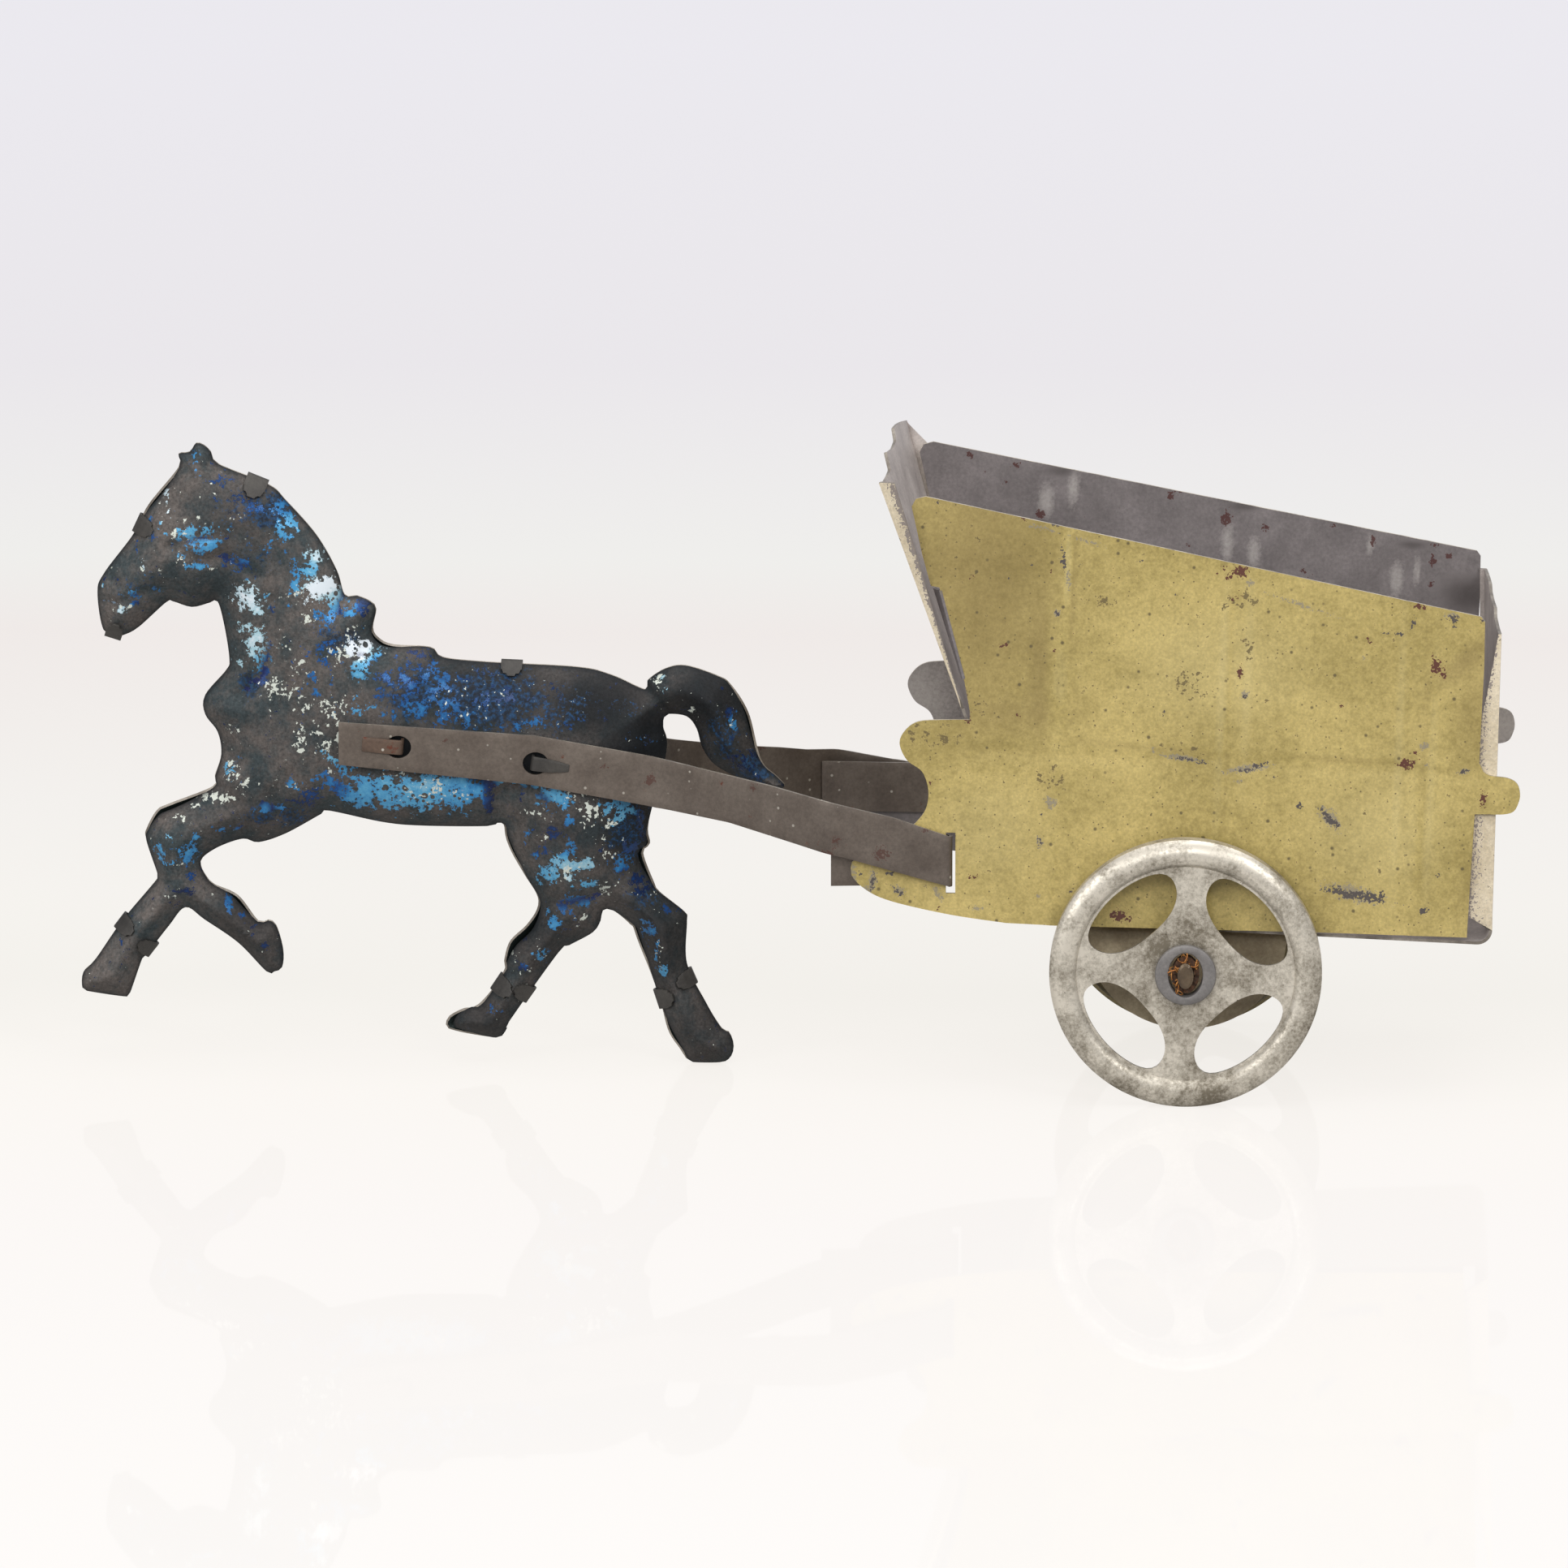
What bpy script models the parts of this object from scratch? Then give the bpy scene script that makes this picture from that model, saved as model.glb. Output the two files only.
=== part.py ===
"""Horse-drawn cart penny toy in stamped tin, about 128 mm long.

A horse pressed in two halves is held together by folded tabs. Two tin shafts run
from its flanks through slots in the cart's sides and are folded back inside. The
cart is a bent tub between two flat sides, on a bearer that carries the axle.

Metres, +Z up, the horse faces -X and its left side faces -Y. The origin is on the
floor, in the middle of the toy's own box.
"""
import bpy
import bmesh
import numpy as np
from math import atan2, cos, exp, hypot, pi, radians, sin, sqrt, tan
from mathutils import Matrix, Vector
from mathutils.geometry import delaunay_2d_cdt

mm = 0.001

# Sheet and clearances
tin = 0.28 * mm                # thickness of the stamped sheet
bearer_tin = 0.40 * mm         # the axle bearer is of heavier sheet
seat_gap = 0.30 * mm           # between pieces that rest on one another
running_gap = 0.05 * mm        # around a shaft that turns in its hole

# Wheels and axle
wheel_diameter = 24.0 * mm
wheel_side_gap = 1.12 * mm      # between the cart's side and the wheel's inner plane, at the axle
rim_depth = 2.0 * mm
rim_width = 2.40 * mm
rim_crown = 0.60 * mm          # how far the rolled rim stands proud of the web
window_count = 4
window_middle_radius = 8.2 * mm
window_half_width = 4.8 * mm   # along the rim
window_half_height = 3.55 * mm # along the radius
window_fullness = 2.5          # 2 is an ellipse, more is squarer
window_to_rim = 0.20 * mm
window_turn = radians(-4.0)    # at which the wheel stands in the photograph
window_steps = 28
axle_diameter = 1.5 * mm
peened_end_height = 2.3 * mm
peened_end_length = 0.45 * mm
crimp_height = 2.3 * mm
crimp_length = 0.8 * mm
collar_diameter = 5.4 * mm
collar_flange = 0.45 * mm      # how far the collar reaches over the disc
collar_front = 0.40 * mm       # its thickness outside the disc
collar_lip = 0.35 * mm         # thickness of the rolled lip inside
collar_round = 0.15 * mm
hub_hole_width = 3.0 * mm
hub_hole_height = 3.9 * mm
bush_proud = 0.10 * mm         # how far the packing stands past the collar's seat

# Cart, measured from the axle in the cart's own frame
cart_tilt = radians(2.0)
side_spacing_at_axle = 29.4 * mm
side_toe_in = radians(2.54)
floor_underside = 3.30 * mm
floor_front_x = -13.2 * mm
front_board_lean = radians(21.4)
front_board_top_z = 42.5 * mm
front_board_top_width = 31.0 * mm
front_flare_start_z = 22.0 * mm
front_board_skew = 1.4 * mm    # how far its right top corner is bent towards the rear
right_flange_drop = 2.0 * mm   # how much lower the right turned edge ends than its board
rear_board_x = 26.8 * mm
rear_board_top_z = 31.2 * mm
bend_radius = 1.2 * mm
board_flange_width = 1.3 * mm
rear_board_lean = 0.35 * mm    # how far the tail board's top leans towards the front
rear_board_skew = 0.9 * mm     # and how much further its right top corner does
rear_crest_share = 0.5         # the tail board's waves over the front board's
edge_strip_width = 1.0 * mm
edge_strip_angle = radians(55)
slot_width = 0.93 * mm
slot_height = 5.45 * mm
slot_lean = radians(5.0)
slot_x = -21.06 * mm
slot_z = 8.35 * mm
lug_step = 0.9 * mm            # between the points of the side's curved outlines
sill_step = 1.5 * mm
strip_root = 0.15 * mm         # how far the turned strip starts inside the side's edge
strip_lip = 0.02 * mm          # and how far it stands out before it turns
bearer_ear_radius = 8.9 * mm
bearer_ear_spacing = 24.0 * mm
cutter_reach = 2.0 * mm        # how far a cutting tool stands out of the piece

# Horse, measured from the shafts' hinge in the middle of the slots
horse_offset_y = -1.0 * mm
seam_gap = 0.30 * mm
horse_half_depth = 2.60 * mm
edge_roll = 2.2 * mm
outline_step = 1.35 * mm
grid_step = 2.05 * mm
shaft_bend_x = -26.3 * mm
shaft_run_start_x = -10.8 * mm
shaft_fold_radius = 0.45 * mm
shaft_inner_leg = 10.6 * mm
shaft_bend_radius = 5.0 * mm
shaft_run_radius = 3.0 * mm
shaft_station_step = 6.0 * mm
shaft_droop = 0.03             # fall of the inner leg towards its end
shaft_hole_height = 2.1 * mm
shaft_hole_length = 1.9 * mm
flank_swell = 0.15 * mm        # the flank's rise over the half's own depth
tongue_height = 1.3 * mm
tongue_root_offset = 0.30 * mm
tongue_root_depth = 0.35 * mm
tab_foot = 0.42 * mm           # how far a tab's bend stands outside the seam's edge

# The half's outline in millimetres, from the tip of the ear round by the back
CREST = [(-67.3, 34.9), (-66.6, 34.7), (-66.0, 34.1), (-65.3, 33.0), (-60.9, 31.2),
         (-59.4, 29.8), (-56.7, 26.7), (-54.9, 23.5), (-54.2, 21.3), (-53.1, 21.2),
         (-51.9, 20.7), (-51.4, 20.0), (-51.7, 18.3), (-51.2, 17.4), (-49.9, 16.8)]
BACK = [(-46.6, 16.6), (-45.5, 15.7), (-41.6, 15.3), (-33.6, 14.9), (-30.5, 14.2), (-27.5, 12.9)]
TAIL = [(-27.3, 13.7), (-25.7, 14.8), (-23.9, 15.1), (-21.1, 14.2), (-19.9, 13.4),
        (-18.3, 10.8), (-17.2, 6.6), (-15.8, 5.1), (-15.1, 4.2), (-16.7, 4.0),
        (-20.8, 5.8), (-22.3, 7.5), (-22.9, 9.4), (-23.8, 10.5), (-25.4, 10.7),
        (-25.8, 10.4), (-25.9, 9.5)]
STANDING_HIND_LEG = [(-25.6, 7.3), (-27.2, 0.9), (-27.1, -1.1), (-27.7, -2.0), (-26.7, -4.7),
                     (-26.2, -5.5), (-24.0, -7.3), (-23.8, -8.1), (-23.8, -12.0), (-22.1, -15.6),
                     (-20.7, -17.9), (-20.1, -18.2), (-19.7, -19.1), (-19.7, -20.0), (-20.1, -20.7),
                     (-20.9, -21.0), (-23.3, -21.0), (-23.8, -20.7), (-24.2, -19.8), (-25.8, -16.6),
                     (-28.0, -9.6), (-28.6, -8.5), (-30.4, -7.2), (-31.3, -7.2)]
RAISED_HIND_LEG = [(-31.5, -8.1), (-32.2, -9.2), (-34.3, -10.4), (-35.3, -11.1), (-39.7, -17.4),
                   (-39.9, -18.0), (-40.9, -18.9), (-44.5, -18.0), (-44.7, -17.6), (-44.3, -16.8),
                   (-43.1, -16.1), (-42.1, -15.8), (-39.9, -12.6), (-39.9, -12.0), (-39.1, -10.5),
                   (-37.5, -8.8), (-36.9, -6.5), (-38.2, -4.0), (-39.6, -0.9), (-40.0, 0.5)]
BELLY = [(-40.7, 0.7), (-41.6, 0.4), (-47.4, 0.4), (-50.9, 0.7), (-55.7, 1.7),
         (-56.4, 1.4), (-59.6, -0.4), (-62.0, -1.2), (-63.4, -0.9)]
RAISED_FORELEG = [(-65.5, -1.6), (-67.0, -2.6), (-67.2, -3.4), (-66.7, -4.4), (-66.0, -5.1),
                  (-63.9, -6.1), (-62.1, -8.4), (-61.2, -8.3), (-60.5, -8.8), (-59.9, -11.0),
                  (-60.0, -12.6), (-60.7, -13.0), (-61.4, -13.0), (-63.9, -10.4), (-66.9, -8.3),
                  (-68.6, -7.2)]
LEADING_FORELEG = [(-70.1, -8.9), (-72.1, -11.5), (-72.5, -11.9), (-73.6, -15.0), (-73.9, -15.4),
                   (-77.5, -14.9), (-77.9, -14.6), (-77.8, -13.2), (-76.7, -12.0), (-74.3, -8.5),
                   (-71.1, -4.6), (-71.1, -4.1), (-72.1, -1.0), (-72.0, 0.0), (-71.1, 1.6),
                   (-70.0, 2.2)]
CHEST = [(-66.1, 3.8), (-65.9, 4.8), (-65.3, 6.8), (-65.6, 8.8), (-66.7, 10.4), (-66.7, 12.1),
         (-64.8, 14.4), (-64.5, 15.4), (-64.9, 18.3), (-65.5, 20.6)]
HEAD = [(-66.2, 20.5), (-67.8, 20.1), (-69.5, 20.6), (-70.1, 20.5), (-72.5, 18.3), (-73.7, 17.6),
        (-74.4, 17.5), (-75.7, 18.0), (-76.2, 21.4), (-75.6, 23.1), (-73.0, 26.6), (-71.6, 29.3),
        (-68.9, 32.7), (-68.9, 33.9), (-67.9, 34.1)]
HORSE_OUTLINE = (CREST + BACK + TAIL + STANDING_HIND_LEG + RAISED_HIND_LEG + BELLY
                 + RAISED_FORELEG + LEADING_FORELEG + CHEST + HEAD)

# Swellings and hollows of the pressing: middle x, z, reach, height in millimetres
MUSCLES = [(-34.0, 7.0, 5.5, 0.25), (-33.0, 0.0, 3.2, 0.35), (-61.0, 5.0, 5.0, 0.25),
           (-61.0, 24.0, 4.0, -0.35), (-70.5, 25.5, 2.6, 0.30), (-47.0, 8.0, 7.0, -0.10)]

# Where one half's edge misses the common outline: middle x, z, reach and shift x, z in millimetres
LEFT_SLIPS = [(-70.5, 3.1, 3.5, 0.25, -0.50), (-62.5, -5.4, 2.0, -0.35, -0.60),
              (-50.6, 17.8, 1.8, -0.20, -0.35), (-18.2, 10.0, 3.0, -0.30, -0.10),
              (-70.9, 30.4, 2.5, 0.30, -0.15), (-27.3, -2.6, 2.2, -0.50, 0.0)]
RIGHT_SLIPS = [(-38.5, -9.5, 2.8, -0.90, 0.30), (-44.0, -17.0, 2.5, -0.80, -0.20),
               (-28.0, -9.5, 3.0, -0.25, 0.0), (-24.5, -18.5, 2.0, -0.35, 0.0)]

# Fold-over tabs of the right half: a point near the edge, width and reach in millimetres
TABS = [(-75.3, 18.3, 1.6, 1.4), (-73.0, 28.0, 1.9, 1.6), (-61.7, 31.9, 2.2, 1.6),
        (-39.1, 15.4, 1.9, 1.3), (-74.2, -8.7, 1.6, 1.4), (-71.8, -10.7, 1.5, 1.3),
        (-40.8, -13.5, 1.7, 1.5), (-38.0, -15.0, 1.6, 1.4), (-25.6, -15.0, 1.8, 1.4),
        (-23.9, -13.6, 1.5, 1.4)]

# Shaft edges in millimetres: along the strip from its front end to the slot
SHAFT_TOP = [(-54.6, 10.4), (-37.2, 9.3), (-25.6, 7.3), (-16.0, 6.2), (-10.9, 5.4), (-5.1, 4.1),
             (0.0, 2.45)]
SHAFT_BOTTOM = [(-54.6, 6.55), (-37.8, 4.9), (-26.3, 2.9), (-19.7, 2.4), (-13.8, 1.3), (-9.4, 0.45),
                (0.0, -2.05)]
TONGUES = [(-49.3, 8.2, -3.6), (-37.1, 6.8, 3.3)]  # hole x, z and the fold's signed length

# The cart side's outline in millimetres, from its front top corner round by the rear
SIDE_TOP = [(-25.7, 40.1), (-25.35, 40.8), (-24.5, 41.05), (24.6, 32.75), (24.95, 32.3),
            (25.05, 28.5), (25.0, 19.7)]
SIDE_LUG = [(25.4, 18.95), (26.0, 18.6), (27.55, 18.45), (28.4, 18.0), (28.7, 17.1), (28.6, 16.3),
            (28.2, 15.5), (27.3, 15.2), (26.0, 15.15)]
SIDE_BOTTOM = [(24.8, 15.1), (24.6, 4.0), (11.9, 3.8), (-10.9, 3.2)]
SIDE_SILL = [(-16.0, 3.2), (-21.0, 3.7), (-26.05, 4.6), (-28.4, 5.5), (-29.8, 6.8), (-29.8, 8.0)]
SIDE_SCALLOP = [(-24.4, 11.7), (-23.5, 13.0), (-23.3, 14.7), (-23.9, 16.4), (-25.3, 17.4),
                (-26.0, 18.9), (-25.5, 20.1), (-24.4, 20.9), (-22.4, 21.15)]
SIDE_FRONT = [(-19.9, 21.3), (-19.9, 22.0), (-20.5, 24.7), (-23.0, 33.0), (-23.75, 33.1), (-24.6, 35.8)]

# The front board's top edge from its left corner (-1) to its right (1): two cusps between hollows
BOARD_CREST = [(-1.0, 0.0), (-0.82, -0.4), (-0.62, -0.5), (-0.42, -0.5), (-0.34, 0.8), (-0.16, 0.45),
               (0.0, 0.22), (0.24, 0.25), (0.34, 1.1), (0.56, 0.88), (0.78, 0.5), (1.0, 0.0)]


def start_empty():
    for thing in list(bpy.data.objects):
        bpy.data.objects.remove(thing, do_unlink=True)


def make_material(name, colour, roughness, metallic):
    material = bpy.data.materials.new(name)
    material.use_nodes = True
    shader = material.node_tree.nodes["Principled BSDF"]
    shader.inputs["Base Color"].default_value = (*colour, 1.0)
    shader.inputs["Roughness"].default_value = roughness
    shader.inputs["Metallic"].default_value = metallic
    return material


def add_empty(name, location, parent=None):
    empty = bpy.data.objects.new(name, None)
    empty.location = location
    empty.parent = parent
    bpy.context.scene.collection.objects.link(empty)
    return empty


def add_object(name, bm, material, parent=None, location=(0, 0, 0), smooth=True):
    """Turns the bmesh into a named object with outward faces."""
    bmesh.ops.recalc_face_normals(bm, faces=bm.faces)
    if all(edge.is_manifold for edge in bm.edges) and bm.calc_volume(signed=True) < 0:
        bmesh.ops.reverse_faces(bm, faces=bm.faces)
    mesh = bpy.data.meshes.new(name)
    bm.to_mesh(mesh)
    bm.free()
    if smooth:
        mesh.shade_smooth()
        mesh.set_sharp_from_angle(angle=radians(38))
    item = bpy.data.objects.new(name, mesh)
    item.data.materials.append(material)
    item.parent = parent
    item.location = location
    bpy.context.scene.collection.objects.link(item)
    return item


def boolean(target, cutter, operation):
    """Cuts or joins with a helper object that the build leaves out."""
    cutter.hide_render = True
    cutter.display_type = 'WIRE'
    modifier = target.modifiers.new(cutter.name, 'BOOLEAN')
    modifier.operation = operation
    modifier.object = cutter


def thicken(item, wall, even=True):
    modifier = item.modifiers.new("sheet", 'SOLIDIFY')
    modifier.thickness = wall
    modifier.offset = 0.0
    modifier.use_even_offset = even


def curve_through(points, step, closed):
    """Points about one step apart on a smooth curve through the given ones."""
    given = [Vector(p) for p in points]
    count = len(given)
    result = []
    for i in range(count if closed else count - 1):
        before = given[i - 1] if closed or i > 0 else given[i]
        start = given[i]
        end = given[(i + 1) % count]
        after = given[(i + 2) % count] if closed or i + 2 < count else end
        pieces = max(1, round((end - start).length / step))
        for k in range(pieces):
            t = k / pieces
            result.append(0.5 * (2 * start + (end - before) * t
                                 + (2 * before - 5 * start + 4 * end - after) * t * t
                                 + (3 * start - before - 3 * end + after) * t ** 3))
    if not closed:
        result.append(given[-1])
    return result


def in_mm(points):
    return [(x * mm, z * mm) for x, z in points]


def rounded_path(corners):
    """A polyline whose inner corners (x, y, radius) are turned into arcs."""
    path = [Vector(corners[0][:2])]
    for before, corner, after in zip(corners, corners[1:], corners[2:]):
        here = Vector(corner[:2])
        back = (Vector(before[:2]) - here).normalized()
        ahead = (Vector(after[:2]) - here).normalized()
        half = back.angle(ahead) / 2
        radius = corner[2]
        reach = radius / tan(half)
        centre = here + (back + ahead).normalized() * (radius / sin(half))
        start = here + back * reach - centre
        end = here + ahead * reach - centre
        turn = atan2(start.x * end.y - start.y * end.x, start.dot(end))
        pieces = max(2, round(abs(turn) / radians(24)))
        for k in range(pieces + 1):
            angle = turn * k / pieces
            path.append(centre + Vector((start.x * cos(angle) - start.y * sin(angle),
                                         start.x * sin(angle) + start.y * cos(angle))))
    path.append(Vector(corners[-1][:2]))
    return path


def height_at(edge, x):
    """Height of an edge given as (x, z) points in millimetres, for x in metres."""
    return np.interp(x / mm, [p[0] for p in edge], [p[1] for p in edge]) * mm


def ring_rows(rows, bm, closed=True):
    """Joins neighbouring rows of vertices with quads; closed joins last to first."""
    count = len(rows)
    for i in range(count if closed else count - 1):
        row = rows[i]
        other = rows[(i + 1) % count]
        for k in range(len(row)):
            n = (k + 1) % len(row)
            bm.faces.new((row[k], row[n], other[n], other[k]))


def lathe(name, profile, material, parent, location, segments=32, oval=None):
    """Turns a closed (radius, y) profile about Y; oval stretches chosen points along Z."""
    bm = bmesh.new()
    rows = []
    for radius, y in profile:
        row = []
        for k in range(segments):
            angle = 2 * pi * k / segments
            tall = radius * oval[0] if oval and radius < oval[1] else radius
            row.append(bm.verts.new((radius * cos(angle), y, tall * sin(angle))))
        rows.append(row)
    ring_rows(rows, bm)
    return add_object(name, bm, material, parent, location)


def plate(name, outline, wall, material, parent, location):
    """A flat sheet standing in the XZ plane, its wall centred on y = 0."""
    bm = bmesh.new()
    face = bm.faces.new([bm.verts.new((x, -wall / 2, z)) for x, z in outline])
    result = bmesh.ops.extrude_face_region(bm, geom=[face])
    moved = [v for v in result["geom"] if isinstance(v, bmesh.types.BMVert)]
    bmesh.ops.translate(bm, verts=moved, vec=(0, wall, 0))
    bmesh.ops.triangulate(bm, faces=[f for f in bm.faces if len(f.verts) > 4])
    return add_object(name, bm, material, parent, location, smooth=False)


def box_cutter(name, size, location, parent, turn_y=0.0, turn_z=0.0):
    bm = bmesh.new()
    bmesh.ops.create_cube(bm, size=1.0)
    bmesh.ops.scale(bm, vec=size, verts=bm.verts)
    cutter = add_object(name, bm, tools_material, parent, location, smooth=False)
    cutter.rotation_euler = (0, turn_y, turn_z)
    return cutter


def side_half_spacing(x):
    """Half the distance over the cart's two sides, where they pass x."""
    return side_spacing_at_axle / 2 + x * tan(side_toe_in)


# Horse

def edge_distance(points, edge):
    """Distance of each point from a closed polyline, and whether it lies inside."""
    start = np.array(edge)
    end = np.roll(start, -1, axis=0)
    along = end - start
    away = points[:, None, :] - start[None, :, :]
    share = np.clip((away * along).sum(2) / (along ** 2).sum(1), 0, 1)
    gap = np.linalg.norm(away - share[:, :, None] * along, axis=2)
    crosses = (start[:, 1] > points[:, None, 1]) != (end[:, 1] > points[:, None, 1])
    rise = np.where(along[:, 1] == 0, 1e-12, along[:, 1])
    left = points[:, None, 0] < along[:, 0] * (points[:, None, 1] - start[:, 1]) / rise + start[:, 0]
    return gap.min(axis=1), (crosses & left).sum(axis=1) % 2 == 1


def pressing_depth(x, z, distance):
    """How far the pressed sheet bulges out of the seam's plane."""
    full = horse_half_depth * (1 - exp(-distance / edge_roll))
    fade = min(1.0, distance / edge_roll)
    swell = 0.0
    for middle_x, middle_z, reach, height in MUSCLES:
        away = hypot(x / mm - middle_x, z / mm - middle_z) / reach
        swell += height * mm * exp(-away * away)
    return full + swell * fade


def slipped(edge, slips):
    """The outline with the small shifts by which one pressed half misses the other."""
    moved = []
    for point in edge:
        shift = Vector((0, 0))
        for x, z, reach, shift_x, shift_z in slips:
            away = (point - Vector((x * mm, z * mm))).length / (reach * mm)
            shift += Vector((shift_x, shift_z)) * (mm * exp(-away * away))
        moved.append(point + shift)
    return moved


def half_sheet(edge):
    """Triangles over the outline: its edge points first, then a staggered grid inside.

    A point halfway over each narrow place keeps every triangle off the flat of the seam.
    """
    flat = np.array([(p.x, p.y) for p in edge])
    count = len(flat)
    low = flat.min(axis=0)
    high = flat.max(axis=0)
    row_step = grid_step * sqrt(3) / 2
    grid = np.array([(low[0] + (i + 0.5 * (j % 2)) * grid_step, low[1] + j * row_step)
                     for j in range(int((high[1] - low[1]) / row_step) + 1)
                     for i in range(int((high[0] - low[0]) / grid_step) + 1)])
    distance, inside = edge_distance(grid, flat)
    points = np.concatenate([flat, grid[inside & (distance > 0.5 * grid_step)]])
    loop = [list(range(count))]
    for _ in range(2):
        found = delaunay_2d_cdt([Vector(p) for p in points], [], loop, 1, 1e-7)
        middles = [(found[0][a] + found[0][b]) / 2 for a, b in found[1]
                   if found[3][a][0] < count and found[3][b][0] < count
                   and abs(found[3][a][0] - found[3][b][0]) not in (1, count - 1)]
        if middles:
            points = np.concatenate([points, np.array(middles)])
    found = delaunay_2d_cdt([Vector(p) for p in points], [], loop, 1, 1e-7)
    places = [Vector(p) for p in found[0]]
    on_edge = {sources[0]: i for i, sources in enumerate(found[3]) if sources[0] < count}
    distance = edge_distance(np.array([tuple(p) for p in places]), flat)[0]
    return places, found[2], [on_edge[k] for k in range(count)], distance


def horse_half(name, side, edge, material, parent):
    """One pressed half: an outer and an inner skin joined by a flat rim at the seam."""
    places, faces, rim, distance = half_sheet(edge)
    seam = seam_gap / 2
    bm = bmesh.new()
    on_rim = set(rim)
    rise = [0.0 if i in on_rim else pressing_depth(place.x, place.y, distance[i])
            for i, place in enumerate(places)]
    outer = [bm.verts.new((place.x, side * (seam + up), place.y)) for place, up in zip(places, rise)]
    for face in faces:
        bm.faces.new([outer[i] for i in (face if side < 0 else face[::-1])])
    bm.normal_update()
    bm.verts.index_update()
    inner = []
    for i, vert in enumerate(outer):
        if i in on_rim:
            neighbours = [e.other_vert(vert).co for e in vert.link_edges
                          if e.other_vert(vert).index not in on_rim]
            toward = sum(neighbours, Vector()) / max(1, len(neighbours)) - vert.co
            toward.y = 0
            inset = min(tin, 0.4 * toward.length)
            inner.append(vert.co + toward.normalized() * inset)
        else:
            upright = tin / max(0.35, abs(vert.normal.y))
            inner_rise = max(0.12 * rise[i], rise[i] - upright)
            inner.append(Vector((vert.co.x, side * (seam + inner_rise), vert.co.z)))
    inner = [bm.verts.new(place) for place in inner]
    for face in faces:
        bm.faces.new([inner[i] for i in (face[::-1] if side < 0 else face)])
    for a, b in zip(rim, rim[1:] + rim[:1]):
        bm.faces.new((outer[a], outer[b], inner[b], inner[a]))
    return add_object(name, bm, material, parent, (0, horse_offset_y, 0))


def strip_mesh(bm, centres, across, half_widths):
    """Adds a ribbon of quads along the centres, as wide as given at each of them."""
    rows = []
    for centre, half in zip(centres, half_widths):
        rows.append((bm.verts.new(centre - across * half), bm.verts.new(centre + across * half)))
    for row, other in zip(rows, rows[1:]):
        bm.faces.new((row[0], row[1], other[1], other[0]))


def seam_tabs(edge, material, parent):
    """The right half's tabs, folded over the edge of the left half."""
    bm = bmesh.new()
    seam = seam_gap / 2
    clear = seat_gap + tin / 2
    for x, z, width, reach in TABS:
        target = Vector((x * mm, z * mm))
        nearest = min(range(len(edge)), key=lambda i: (edge[i] - target).length)
        foot = edge[nearest]
        along = (edge[(nearest + 1) % len(edge)] - edge[nearest - 1]).normalized()
        inward = Vector((along.y, -along.x))
        bend = [(tab_foot, seam + seat_gap), (-clear, seam + seat_gap), (-clear, -seam - 0.10 * mm)]
        for share in (0.10, 0.5, 0.8, 1.0):
            deep = share * reach * mm
            over = horse_half_depth * (1 - exp(-deep / edge_roll))
            bend.append((deep - 0.1 * mm, -seam - over - 1.6 * clear))
        centres = [Vector((foot.x + inward.x * u, y, foot.y + inward.y * u)) for u, y in bend]
        half = width * mm / 2
        strip_mesh(bm, centres, Vector((along.x, 0, along.y)), [half] * 5 + [0.92 * half, 0.55 * half])
    tabs = add_object("seam_tabs", bm, material, parent, (0, horse_offset_y, 0))
    thicken(tabs, tin)
    return tabs


def shaft_face():
    """Distance of a shaft's middle plane from the horse's seam plane."""
    return seam_gap / 2 + horse_half_depth + flank_swell + seat_gap + tin / 2


def shaft_slope(x):
    """Slope of the shaft's middle line at x."""
    step = 1.0 * mm
    middle = [(height_at(SHAFT_TOP, at) + height_at(SHAFT_BOTTOM, at)) / 2 for at in (x - step, x + step)]
    return atan2(middle[1] - middle[0], 2 * step)


def shaft_tongues(name, side, material, parent):
    """Tongues lanced from the flank, passed through the shaft and folded flat."""
    bm = bmesh.new()
    folded = shaft_face() + tin + seat_gap
    for x, z, length in TONGUES:
        slope = shaft_slope(x * mm)
        along = Vector((cos(slope), 0, sin(slope)))
        across = Vector((-sin(slope), 0, cos(slope)))
        back_up = tongue_root_offset if length < 0 else -tongue_root_offset
        start = Vector((x * mm, 0, z * mm)) + along * back_up
        root = side * (horse_half_depth - tongue_root_depth)
        centres = [start + Vector((0, root, 0)), start + Vector((0, side * folded, 0)),
                   start + along * (0.6 * length * mm) + Vector((0, side * folded, 0)),
                   start + along * (length * mm) + Vector((0, side * folded, 0))]
        half = tongue_height / 2
        strip_mesh(bm, centres, across, [half, half, 0.9 * half, 0.45 * half])
    tongues = add_object(name, bm, material, parent, (0, horse_offset_y, 0))
    thicken(tongues, tin)
    return tongues


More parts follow.
